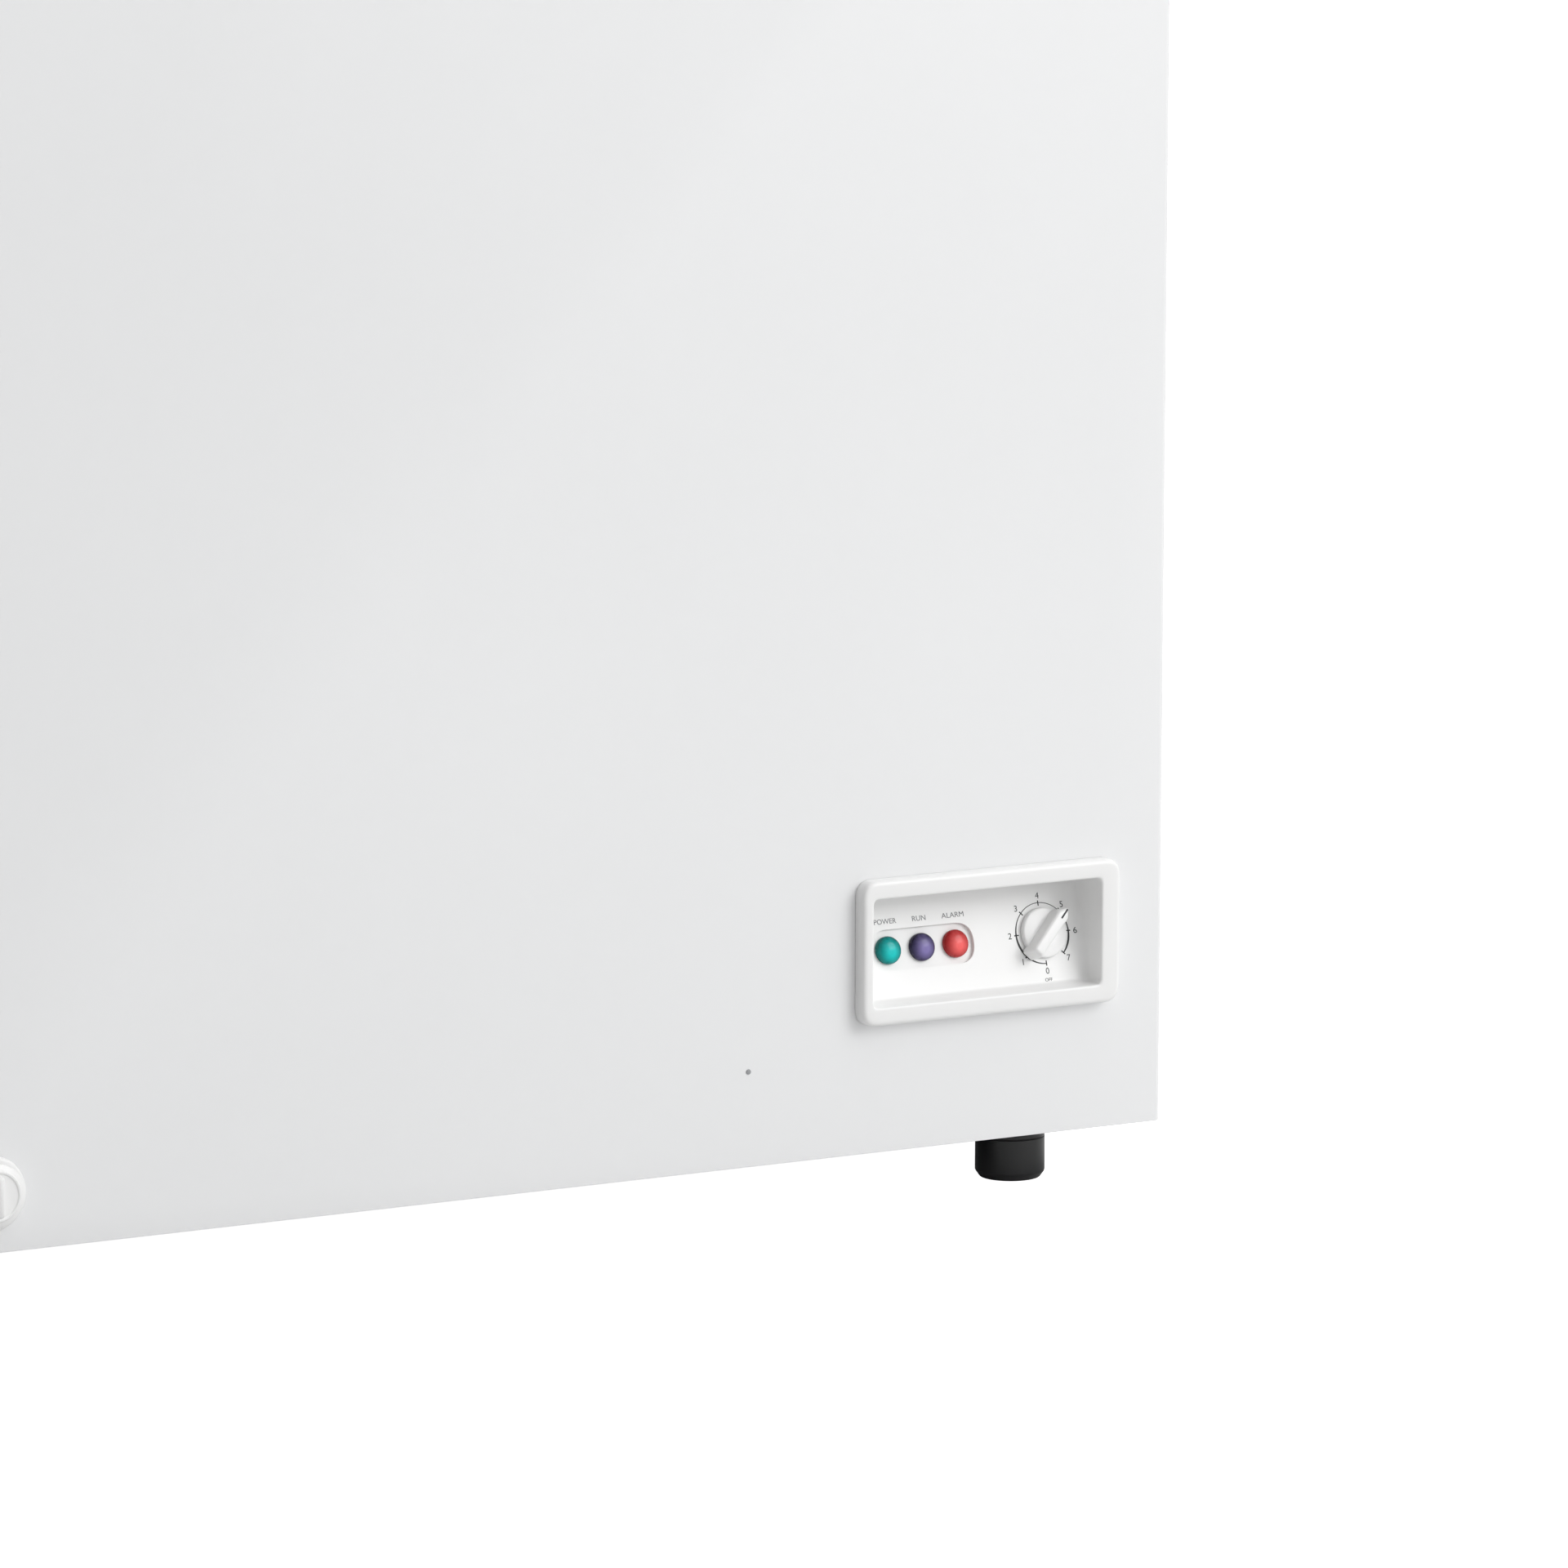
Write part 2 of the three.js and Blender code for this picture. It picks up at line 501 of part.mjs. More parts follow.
// A pilot lamp's lens: a domed head in the pocket and a stem through the face.
function lamps() {
  const names = ["lamp_green", "lamp_blue", "lamp_red"];
  const lenses = [GREEN_LENS, BLUE_LENS, RED_LENS];
  const dome = [[LAMP.radius, 0], [LAMP.radius, 1.4], [6.1, 3.2], [3.9, 5], [0, 5.8]];
  return names.map((name, i) => {
    const lens = turned([[0, -6], [5, -6], [5, 0], ...dome], 18);
    const made = mesh(name, lens, lenses[i]);
    made.rotation.x = Math.PI / 2;
    made.position.set(lampX[i], LAMP.pocketDeep - GAP, FACE_ROW.lamps);
    return made;
  });
}

function lampHolder() {
  const y = LAMP.pocketDeep + 6;
  const half = LAMP.spacing + 8;
  const box = block(lampX[1] - half, lampX[1] + half, y, y + 10, FACE_ROW.lamps - 8, FACE_ROW.lamps + 8);
  return mesh("lamp_holder", box, WHITE_PLASTIC);
}

function thermostat() {
  const x = faceX(KNOB.x);
  const y = FACE_THICK + GAP;
  const box = block(x - 17, x + 17, y, y + 26, FACE_ROW.knob - 14, FACE_ROW.knob + 14);
  const socket = bar("y", 3.4, y - 5, y + 14, x, FACE_ROW.knob, 12);
  return mesh("thermostat", cut(box, socket), STEEL);
}

// The knob's parts are made pointing straight up, then the knob group turns them to the marked number.
function knob() {
  const turn = new THREE.Group();
  turn.position.set(faceX(KNOB.x), 0, FACE_ROW.knob);
  turn.rotation.y = (KNOB.pointsAt * Math.PI) / 180;
  const { discR, discThick, gripLong, gripWide, gripTall } = KNOB;
  const disc = bar("y", discR, -GAP - discThick, -GAP, 0, 0, 28);
  const half = gripLong / 2;
  const grip = [
    [-gripWide / 2, -half + 3],
    [-gripWide / 2 + 1.5, -half],
    [gripWide / 2 - 1.5, -half],
    [gripWide / 2, -half + 3],
    [gripWide / 2 - 0.8, half - 2],
    [0, half],
    [-gripWide / 2 + 0.8, half - 2],
  ];
  const ridge = extruded(grip, -GAP - gripTall, -GAP - 1, "y");
  const bore = bar("y", 3.3, -GAP - 8, 1, 0, 0, 12);
  const shaft = bar("y", 3, -GAP - 7.5, FACE_THICK + 12, 0, 0, 12);
  const flat = block(1.8, 5, -GAP - 20, -GAP + 0.2, -5, 5);
  turn.add(mesh("thermostat_knob", cut(join(disc, ridge), bore), WHITE_PLASTIC));
  turn.add(mesh("thermostat_shaft", cut(shaft, flat), STEEL));
  return turn;
}

function wiringHarness() {
  const start = new THREE.Vector3(lampX[1], LAMP.pocketDeep + 19.2, FACE_ROW.lamps);
  start.applyMatrix4(controlFace.matrix);
  const relayFront = COMPRESSOR.y - (COMPRESSOR.shellR + 1.5) * COMPRESSOR.stretch - GAP - 28;
  const lead = [
    start.toArray(),
    [start.x, start.y + 34, start.z - 8],
    [start.x, start.y + 34, 70],
    [COMPRESSOR.x, -100, 70],
    [COMPRESSOR.x, relayFront - 22, 108],
    [COMPRESSOR.x, relayFront - 0.4, 108],
  ];
  return mesh("wiring_harness", tube(lead, 3, 16, 8), BLACK_PLASTIC);
}

// ---------------------------------------------------------------- drain
function drainDuct() {
  const { x, y, z, pipeR, boreR, flangeR } = DRAIN;
  const face = -CABINET.halfY;
  const low = join(
    bar("y", pipeR, face - 1, y, x, z),
    bar("y", flangeR, face - 2.6, face - GAP, x, z, 32),
    bar("z", pipeR, z - pipeR, LINER.floor - LINER.wall - GAP, x, y),
    bar("z", 16, LINER.floor - LINER.wall - GAP - 2, LINER.floor - LINER.wall - GAP, x, y),
  );
  const bores = [
    bar("y", boreR, face - 20, y, x, z),
    bar("z", boreR, z - boreR + 1, LINER.floor + 20, x, y),
  ];
  return mesh("drain_duct", cut(low, ...bores), WHITE_PLASTIC);
}

function drainSpout() {
  const { x, z, boreR } = DRAIN;
  const face = -CABINET.halfY - 2.6;
  const pipe = bar("y", boreR - GAP, face - 3, face + 78, x, z);
  return mesh("drain_spout", cut(pipe, bar("y", 6.5, face + 10, face + 90, x, z)), WHITE_PLASTIC);
}

function drainDial() {
  const { x, z, boreR, dialR } = DRAIN;
  const face = -CABINET.halfY - 2.6 - GAP;
  const cap = bar("y", dialR, face - 5, face, x, z, 32);
  const grip = block(x - 2.5, x + 2.5, face - 9, face - 4, z - 11, z + 11);
  const socket = bar("y", boreR, face - 3.4, face + 5, x, z);
  return mesh("drain_dial", cut(join(cap, grip), socket), WHITE_PLASTIC);
}

function linerPlug() {
  const { x, y } = DRAIN;
  const z = LINER.floor + GAP;
  const plug = turned([[0, z - 12], [8.6, z - 12], [8.9, z - 2], [8.9, z], [17, z], [17, z + 2.5], [6, z + 4],
    [4, z + 8], [7, z + 12], [5, z + 15], [0, z + 16]], 16);
  return mesh("liner_plug", plug.translate([x, y, 0]), RUBBER);
}

// ---------------------------------------------------------------- basket
function basket() {
  const { x0, x1, halfY, z0, z1, wire } = BASKET;
  const box = block(x0, x1, -halfY, halfY, z0, z1);
  const inside = block(x0 + wire, x1 - wire, -halfY + wire, halfY - wire, z0 + wire, z1 + 5);
  const hookZ = CABINET.top + 0.5;
  const hooks = [x0 + 20, x1 - 40].flatMap((x) =>
    [-1, 1].map((s) => {
      const [a, b] = [s * (halfY - wire), s * (halfY + 21)].sort((p, q) => p - q);
      const [c, d] = [s * (halfY - wire), s * halfY].sort((p, q) => p - q);
      return join(block(x, x + 20, a, b, hookZ, hookZ + 2.5), block(x, x + 20, c, d, z1 - 5, hookZ + 2.5));
    }),
  );
  return mesh("basket", join(cut(box, inside), ...hooks), STEEL);
}

// ---------------------------------------------------------------- feet
function foot(name, x, y) {
  const { padR, padTop, studR, studTop } = FOOT;
  const profile = [[0, 0], [padR - 3, 0], [padR - 1, 1.2], [padR, 3.5], [padR, padTop], [8.5, padTop],
    [8.5, CABINET.bottom - GAP], [studR, CABINET.bottom - GAP], [studR, studTop], [0, studTop]];
  const made = mesh(name, turned(profile, 18), BLACK_PLASTIC);
  made.position.set(x, y, 0);
  return made;
}

// ---------------------------------------------------------------- lid
function lidSkin() {
  const { halfX, front, back, bottom, top, cornerR } = LID;
  const outside = prism(-halfX, halfX, front, back, bottom, top, cornerR, 5);
  const inside = prism(
    -halfX + SHEET, halfX - SHEET, front + SHEET, back - SHEET, bottom - 5, top - SHEET, cornerR - SHEET, 5,
  );
  return mesh("lid_skin", cut(outside, inside), WHITE_PAINT);
}

function lidFoam() {
  const { halfX, front, back, top, cornerR, pan, plate } = LID;
  const off = SHEET + GAP;
  const slab = prism(-halfX + off, halfX - off, front + off, back - off, plate + 2 + GAP, top - off, cornerR - off, 5);
  const bulge = prism(-377.7, 377.7, -227.7, 226.7, pan + 2 + GAP, plate + 5, 16);
  return mesh("lid_foam", join(slab, bulge), FOAM);
}

function lidLiner() {
  const { halfX, front, back, cornerR, pan, plate } = LID;
  const off = SHEET + GAP;
  const sheet = prism(-halfX + off, halfX - off, front + off, back - off, plate, plate + 2, cornerR - off, 5);
  const panOut = prism(-380, 380, -230, 229, pan, plate + 2, 18);
  const panIn = prism(-378, 378, -228, 227, pan + 2, plate + 10, 16);
  return mesh("lid_liner", cut(join(sheet, panOut), panIn), WHITE_PLASTIC);
}

function lidGasket() {
  const ring = cut(
    prism(-409, 409, -259, 258.5, CABINET.top + GAP, LID.plate - GAP, 18),
    prism(-390, 390, -240, 239.5, CABINET.top - 10, LID.plate + 10, 8),
  );
  return mesh("lid_gasket", ring, SEAL);
}

function lidHandle() {
  const back = LID.front - GAP;
  const frontY = -HINGE.backY;
  const half = 78;
  const body = extruded(
    [[back, 806], [back, 838], [frontY + 8, 838], [frontY + 2, 835], [frontY, 829], [frontY, 806]],
    -half, half, "x",
  );
  const grip = block(-half + 4, half - 4, frontY + 4.5, back - 3, 800, 831);
  return mesh("lid_handle", cut(body, grip), WHITE_PLASTIC);
}

// ---------------------------------------------------------------- hinges: made at x = 0, then placed
function hinge(side, x) {
  const { pivotY, pivotZ, pinR, cheekX, bottomZ, topZ, backY } = HINGE;
  const plateY = CABINET.halfY + GAP;
  const plate = block(-28, 28, plateY, plateY + 2, bottomZ, topZ);
  const channel = cut(
    block(-cheekX, cheekX, plateY, backY, bottomZ, topZ),
    block(-cheekX + 2, cheekX - 2, plateY + 2, backY - 2, bottomZ + 2, topZ + 5),
  );
  const ear = (x0) => join(
    block(x0, x0 + 2, pivotY - 9, pivotY + 9, topZ - 5, pivotZ),
    bar("x", 9, x0, x0 + 2, pivotY, pivotZ, 20),
  );
  const pinHole = bar("x", pinR + GAP, -60, 60, pivotY, pivotZ, 16);
  const base = cut(join(plate, channel, ear(-cheekX), ear(cheekX - 2)), pinHole);
  const pin = join(
    bar("x", pinR, -cheekX - 2, cheekX + 2, pivotY, pivotZ, 16),
    bar("x", 6.5, cheekX + GAP, cheekX + 3, pivotY, pivotZ, 16),
  );
  const camY = pivotY + CAM.offset * Math.cos(CAM.angle);
  const camZ = pivotZ + CAM.offset * Math.sin(CAM.angle);
  const leafY = LID.back + 0.4;
  const arm = cut(
    join(
      bar("x", CAM.radius, -12, 12, camY, camZ, 28),
      block(-12, 12, leafY, leafY + 3, pivotZ, pivotZ + 16),
      block(-28, 28, leafY, leafY + 3, pivotZ + 14, LID.top - 5),
    ),
    pinHole,
  );
  const plungerTop = camZ - CAM.radius - GAP;
  const centreY = (plateY + backY) / 2;
  const plunger = join(
    bar("z", 11, plungerTop - 6, plungerTop, 0, centreY, 20),
    bar("z", 5, plungerTop - 30, plungerTop - 5, 0, centreY, 12),
  );
  const spring = helix([0, centreY], 8, bottomZ + 2 + GAP + 1.3, plungerTop - 6 - GAP - 1.3, 6, 1.2);
  const group = new THREE.Group();
  group.position.x = x;
  group.add(mesh(`hinge_base_${side}`, base, ZINC));
  group.add(mesh(`hinge_pin_${side}`, pin, STEEL));
  group.add(mesh(`hinge_arm_${side}`, arm, ZINC));
  group.add(mesh(`hinge_plunger_${side}`, plunger, WHITE_PLASTIC));
  group.add(mesh(`hinge_spring_${side}`, spring, STEEL));
  return group;
}

// ---------------------------------------------------------------- the whole freezer
const freezer = new THREE.Group();
freezer.add(outerWrap(), rearPanel(), serviceCover(), cordGland(), baseTray(), compressorPlate(), bayWall());
freezer.add(innerLiner(), foamBody(), rimTrim(), evaporatorCoil(), condenserCoil());
freezer.add(...compressor(), ...grommets(), startRelay(), ...refrigerantLines());
controlFace.add(...lamps(), lampHolder(), thermostat(), knob());
freezer.add(controlHousing(), controlFace, wiringHarness());
freezer.add(drainDuct(), drainSpout(), drainDial(), linerPlug(), basket());
for (const [name, x, y] of [
  ["foot_front_left", -FOOT.x, -FOOT.y],
  ["foot_front_right", FOOT.x, -FOOT.y],
  ["foot_rear_left", -FOOT.x, FOOT.y],
  ["foot_rear_right", FOOT.x, FOOT.y],
]) {
  freezer.add(foot(name, x, y));
}
freezer.add(lidSkin(), lidFoam(), lidLiner(), lidGasket(), lidHandle());
freezer.add(hinge("left", -HINGE.x), hinge("right", HINGE.x));

export default freezer;
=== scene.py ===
import json
import math
import bmesh
import bpy
from mathutils import Matrix, Vector


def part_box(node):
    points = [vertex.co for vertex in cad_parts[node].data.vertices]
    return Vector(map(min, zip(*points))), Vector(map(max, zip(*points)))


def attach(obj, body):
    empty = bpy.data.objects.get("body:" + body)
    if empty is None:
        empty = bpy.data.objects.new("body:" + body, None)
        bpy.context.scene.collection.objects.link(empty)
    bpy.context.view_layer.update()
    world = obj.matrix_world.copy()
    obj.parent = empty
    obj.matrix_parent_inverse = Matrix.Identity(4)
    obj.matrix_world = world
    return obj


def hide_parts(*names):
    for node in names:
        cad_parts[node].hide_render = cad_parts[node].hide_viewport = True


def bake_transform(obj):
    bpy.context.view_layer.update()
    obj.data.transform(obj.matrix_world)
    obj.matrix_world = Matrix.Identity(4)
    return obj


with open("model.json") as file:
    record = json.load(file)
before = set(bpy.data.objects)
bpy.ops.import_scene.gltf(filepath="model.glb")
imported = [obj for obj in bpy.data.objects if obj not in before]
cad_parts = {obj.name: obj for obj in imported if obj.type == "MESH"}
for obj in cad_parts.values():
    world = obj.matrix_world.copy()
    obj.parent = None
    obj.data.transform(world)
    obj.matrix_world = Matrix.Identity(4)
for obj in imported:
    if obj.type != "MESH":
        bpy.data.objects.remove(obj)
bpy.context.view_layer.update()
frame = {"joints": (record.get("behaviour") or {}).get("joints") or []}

scene = bpy.context.scene
MM = 0.001


# ---------------------------------------------------------------- studio: floor, light and camera
# A white sweep: a pale floor that runs out of sight, an even bright sky, and a large soft box to the front
# right, so that whatever faces left falls into soft grey.
def node_tree(owner):
    """The owner's node tree, emptied, with a short way to add a node and link sockets."""
    owner.use_nodes = True
    tree = owner.node_tree
    tree.nodes.clear()

    def add(kind, links=None, **values):
        node = tree.nodes.new(kind)
        for key, value in values.items():
            if key in node.inputs:
                node.inputs[key].default_value = value
            else:
                setattr(node, key, value)
        for socket, source in (links or {}).items():
            tree.links.new(source, node.inputs[socket])
        return node

    return add


def ranged(add, value, low, high, start=0.0, end=1.0):
    """The value's run from start to end, stretched to run from low to high."""
    ramp = add("ShaderNodeMapRange", {"Value": value}, **{"From Min": start, "From Max": end})
    ramp.inputs["To Min"].default_value = low
    ramp.inputs["To Max"].default_value = high
    return ramp.outputs[0]


def studio_sky(name, left, right, far_right, overhead, front):
    """A sky dim to the left, bright to the right but less so far out, with light overhead and in front."""
    world = bpy.data.worlds.new(name)
    add = node_tree(world)
    direction = add("ShaderNodeTexCoord").outputs["Generated"]
    parts = add("ShaderNodeSeparateXYZ", {"Vector": direction}).outputs
    level = ranged(add, parts["X"], left, right, -0.3, 0.3)
    further = [("X", far_right - right, 0.3, 1.0), ("Z", overhead, 0.2, 0.9), ("Y", front, -0.1, -0.8)]
    for axis, gain, start, end in further:
        value = ranged(add, parts[axis], 0.0, gain, start, end)
        level = add("ShaderNodeMath", {0: level, 1: value}, operation="ADD").outputs[0]
    lit = add("ShaderNodeBackground", {"Strength": level}, Color=(1.0, 1.0, 1.0, 1.0)).outputs[0]
    seen = add("ShaderNodeBackground", Color=(1.0, 1.0, 1.0, 1.0), Strength=1.02).outputs[0]
    to_camera = add("ShaderNodeLightPath").outputs["Is Camera Ray"]
    mixed = add("ShaderNodeMixShader", {0: to_camera, 1: lit, 2: seen}).outputs[0]
    add("ShaderNodeOutputWorld", {"Surface": mixed})
    return world


scene.world = studio_sky(
    "white_studio_sky", left=0.0, right=1.06, far_right=0.68, overhead=0.15, front=0.36
)
scene.view_settings.view_transform = "Standard"
scene.view_settings.look = "None"

floor_half = 30.0
floor_mesh = bpy.data.meshes.new("studio_floor")
floor_corners = [(x * floor_half, y * floor_half, 0) for x, y in ((-1, -1), (1, -1), (1, 1), (-1, 1))]
floor_mesh.from_pydata(floor_corners, [], [(0, 1, 2, 3)])


def set_out(name, data):
    """A new object in the scene that holds this mesh, curve, light or camera."""
    made = bpy.data.objects.new(name, data)
    scene.collection.objects.link(made)
    return made


floor = set_out("studio_floor", floor_mesh)
floor_paint = bpy.data.materials.new("pale_studio_floor")
add = node_tree(floor_paint)
floor_diffuse = add("ShaderNodeBsdfDiffuse", Color=(0.72, 0.72, 0.72, 1.0)).outputs[0]
seen_directly = add("ShaderNodeLightPath").outputs["Is Camera Ray"]
floor_glow = add("ShaderNodeEmission", {"Strength": seen_directly}).outputs[0]
floor_both = add("ShaderNodeAddShader", {0: floor_diffuse, 1: floor_glow}).outputs[0]
add("ShaderNodeOutputMaterial", {"Surface": floor_both})
floor_mesh.materials.append(floor_paint)


def soft_box(name, place, aim, width, height, watts):
    """A square studio light at place, turned to aim, that the camera doesn't see."""
    light = bpy.data.lights.new(name, "AREA")
    light.shape = "RECTANGLE"
    light.size = width
    light.size_y = height
    light.energy = watts
    lamp = set_out(name, light)
    lamp.location = place
    lamp.rotation_euler = (Vector(aim) - Vector(place)).to_track_quat("-Z", "Y").to_euler()
    lamp.visible_camera = False


soft_box("right_soft_box", (1.9, -2.3, 1.7), (0.2, 0, 0.4), 1.6, 1.6, 27)
soft_box("top_soft_box", (0.3, -0.6, 3.6), (0, 0, 0.4), 3.0, 3.0, 15)

camera_data = bpy.data.cameras.new("camera")
camera_data.lens = 225
camera_data.sensor_width = 36
camera_data.clip_end = 100
camera = set_out("camera", camera_data)
scene.camera = camera
heading, dip, roll = math.radians(31), math.radians(9.162), math.radians(0.2306)
ahead = Vector((math.sin(heading) * math.cos(dip), math.cos(heading) * math.cos(dip), -math.sin(dip)))
level_right = Vector((math.cos(heading), -math.sin(heading), 0))
level_up = level_right.cross(ahead)
camera_right = math.cos(roll) * level_right + math.sin(roll) * level_up
camera_up = math.cos(roll) * level_up - math.sin(roll) * level_right
wrap_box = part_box("outer_wrap")
near_corner = Vector((wrap_box[1].x, wrap_box[0].y, wrap_box[0].z))
stand_off = Vector((-2.5957, -3.9592, 0.9296))
camera.matrix_world = Matrix.Translation(near_corner + stand_off) @ Matrix(
    (camera_right, camera_up, -ahead)
).transposed().to_4x4()


# ---------------------------------------------------------------- outer wrap
# One strip of pre-painted sheet steel bent round the front and both sides, folded inwards along the top as
# the landing for the lid's magnetic seal, with slots punched in the right side to let the compressor breathe.
def shaded(add, factor, dark, light):
    """A colour that goes from dark to light with the factor."""
    tint = add("ShaderNodeMix", {"Factor": factor}, data_type="RGBA")
    tint.inputs[6].default_value = (*dark, 1.0)
    tint.inputs[7].default_value = (*light, 1.0)
    return tint.outputs[2]


def finished(add, surface, **shader):
    """The material's shader and output: surface links its sockets, shader sets them outright."""
    principled = add("ShaderNodeBsdfPrincipled", surface, **shader)
    add("ShaderNodeOutputMaterial", {"Surface": principled.outputs[0]})


def stock(
    name, colour, roughness, metallic=0.0, mottle=0.03, grain=(900.0, 0.02), waves=(3.0, 0.0), **shader
):
    """A procedural finish: a faint drift of colour and gloss, a fine surface grain and slow waves.

    grain and waves are (how fine, how deep in millimetres); shader gives any further Principled values."""
    made = bpy.data.materials.new(name)
    add = node_tree(made)
    spread = add("ShaderNodeTexCoord").outputs["Object"]
    drift = add("ShaderNodeTexNoise", {"Vector": spread}, Scale=6.0, Detail=5.0, Roughness=0.6).outputs["Fac"]
    fine = add("ShaderNodeTexNoise", {"Vector": spread}, Scale=grain[0], Detail=2.0).outputs["Fac"]
    slow = add("ShaderNodeTexNoise", {"Vector": spread}, Scale=waves[0], Detail=1.0).outputs["Fac"]
    light = [min(1.0, channel * (1 + mottle)) for channel in colour]
    dark = [channel * (1 - mottle) for channel in colour]
    swell = add("ShaderNodeBump", {"Height": slow}, Distance=waves[1] * MM * 20).outputs[0]
    surface = {
        "Base Color": shaded(add, drift, dark, light),
        "Roughness": ranged(add, drift, max(0.02, roughness - 0.06), roughness + 0.06),
        "Normal": add("ShaderNodeBump", {"Height": fine, "Normal": swell}, Distance=grain[1] * MM).outputs[0],
    }
    finished(add, surface, Metallic=metallic, **shader)
    return made


def place(name, mesh, material, body, replaces=(), slot=None, sharp=35):
    """The mesh as a named piece that rides on body, if given; edges folded past sharp degrees stay crisp."""
    built = bmesh.new()
    built.from_mesh(mesh)
    bmesh.ops.remove_doubles(built, verts=built.verts, dist=0.002 * MM)
    bmesh.ops.recalc_face_normals(built, faces=built.faces)
    for face in built.faces:
        face.smooth = True
    for edge in built.edges:
        edge.smooth = len(edge.link_faces) == 2 and edge.calc_face_angle(0) < math.radians(sharp)
    built.to_mesh(mesh)
    built.free()
    mesh.materials.clear()
    mesh.materials.append(material)
    for polygon in mesh.polygons:
        polygon.material_index = 0
    piece = set_out(name, mesh)
    if body:
        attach(piece, body)
    if replaces:
        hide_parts(*replaces)
    return piece


def fillet(corners, steps=4, closed=True):
    """An outline with each corner (a, b, radius) turned into a round of that radius."""
    points = []
    count = len(corners)
    for i, (a, b, radius) in enumerate(corners):
        here = Vector((a, b))
        ends = not closed and i in (0, count - 1)
        if radius <= 0 or ends:
            points.append(here)
            continue
        back = Vector(corners[i - 1][:2]) - here
        onward = Vector(corners[(i + 1) % count][:2]) - here
        half = back.angle(onward) / 2
        reach = min(radius / math.tan(half), back.length * 0.49, onward.length * 0.49)
        start = here + back.normalized() * reach
        end = here + onward.normalized() * reach
        for step in range(steps + 1):
            t = step / steps
            points.append(start.lerp(here, t).lerp(here.lerp(end, t), t))
    return points


def circle(x, y, radius, count=32):
    """Points round a circle, as (x, y)."""
    turns = [math.tau * i / count for i in range(count)]
    return [(x + radius * math.cos(turn), y + radius * math.sin(turn)) for turn in turns]


def plan_ring(half_x, y0, y1, radius, inset, z, steps=6):
    """A level ring of points round a rectangle with round corners, moved inwards by inset."""
    turn = max(radius - inset, 0.02)
    x, low, high = half_x - inset, y0 + inset, y1 - inset
    centres = [(x - turn, low + turn, -90), (x - turn, high - turn, 0), (turn - x, high - turn, 90)]
    centres.append((turn - x, low + turn, 180))
    points = []
    for cx, cy, start in centres:
        for step in range(steps + 1):
            angle = math.radians(start + 90 * step / steps)
            points.append(Vector((cx + turn * math.cos(angle), cy + turn * math.sin(angle), z)) * MM)
    return points


def skin_rings(name, rings, closed_ring=True, closed_profile=False, caps=(False, False)):
    """A mesh stretched over rings of equal point counts, one ring after the other."""
    built = bmesh.new()
    rows = [[built.verts.new(point) for point in ring] for ring in rings]
    pairs = list(zip(rows, rows[1:]))
    if closed_profile:
        pairs.append((rows[-1], rows[0]))
    for first, second in pairs:
        last = len(first) if closed_ring else len(first) - 1
        for i in range(last):
            j = (i + 1) % len(first)
            built.faces.new((first[i], first[j], second[j], second[i]))
    if caps[0]:
        built.faces.new(rows[0][::-1])
    if caps[1]:
        built.faces.new(rows[-1])
    if not closed_ring and closed_profile:
        built.faces.new([row[0] for row in rows])
        built.faces.new([row[-1] for row in rows][::-1])
    mesh = bpy.data.meshes.new(name)
    built.to_mesh(mesh)
    built.free()
    return mesh


def welded(mesh):
    """The mesh with points that coincide made one."""
    built = bmesh.new()
    built.from_mesh(mesh)
    bmesh.ops.remove_doubles(built, verts=built.verts, dist=0.001 * MM)
    bmesh.ops.recalc_face_normals(built, faces=built.faces)
    built.to_mesh(mesh)
    built.free()
    return mesh


def baked(holder, *spent):
    """The mesh that an object's curve or modifiers make; the object and anything spent are then removed."""
    bpy.context.view_layer.update()
    made = bpy.data.meshes.new_from_object(holder.evaluated_get(bpy.context.evaluated_depsgraph_get()))
    for thing in (holder, *spent):
        bpy.data.objects.remove(thing)
    return made


def outline_plate(name, outline, thickness, bevel, holes=(), segments=2):
    """A flat plate in its own XY plane, from z = 0 up, with rounded edges. Outlines are lists of (x, y)."""
    curve = bpy.data.curves.new(name, "CURVE")
    curve.dimensions = "2D"
    curve.fill_mode = "BOTH"
    for points in (outline, *holes):
        spline = curve.splines.new("POLY")
        spline.points.add(len(points) - 1)
        for target, (x, y) in zip(spline.points, points):
            target.co = (x * MM, y * MM, 0, 1)
        spline.use_cyclic_u = True
    curve.extrude = (thickness / 2 - bevel) * MM
    curve.bevel_depth = bevel * MM
    curve.bevel_resolution = segments
    curve.offset = -bevel * MM
    mesh = baked(set_out(name, curve))
    bpy.data.curves.remove(curve)
    mesh.transform(Matrix.Translation((0, 0, thickness / 2 * MM)))
    mesh.name = name
    return welded(mesh)


def rounded_box(x0, x1, y0, y1, radius, steps=5):
    """The outline of a rectangle with round corners, as (x, y) points."""
    corners = [(x0, y0, radius), (x1, y0, radius), (x1, y1, radius), (x0, y1, radius)]
    return [tuple(point) for point in fillet(corners, steps)]


def joined(name, meshes):
    """Several meshes as one."""
    built = bmesh.new()
    for mesh in meshes:
        built.from_mesh(mesh)
    made = bpy.data.meshes.new(name)
    built.to_mesh(made)
    built.free()
    return made


def carved(mesh, *cutters, union=False):
    """The mesh with each cutter's shape taken out of it, or joined on."""
    holder = set_out("blank", mesh)
    tools = []
    for cutter in cutters:
        tool = set_out("tool", cutter)
        change = holder.modifiers.new("cut", "BOOLEAN")
        change.operation = "UNION" if union else "DIFFERENCE"
        change.solver = "EXACT"
        change.use_self = True
        change.object = tool
        tools.append(tool)
    return baked(holder, *tools)


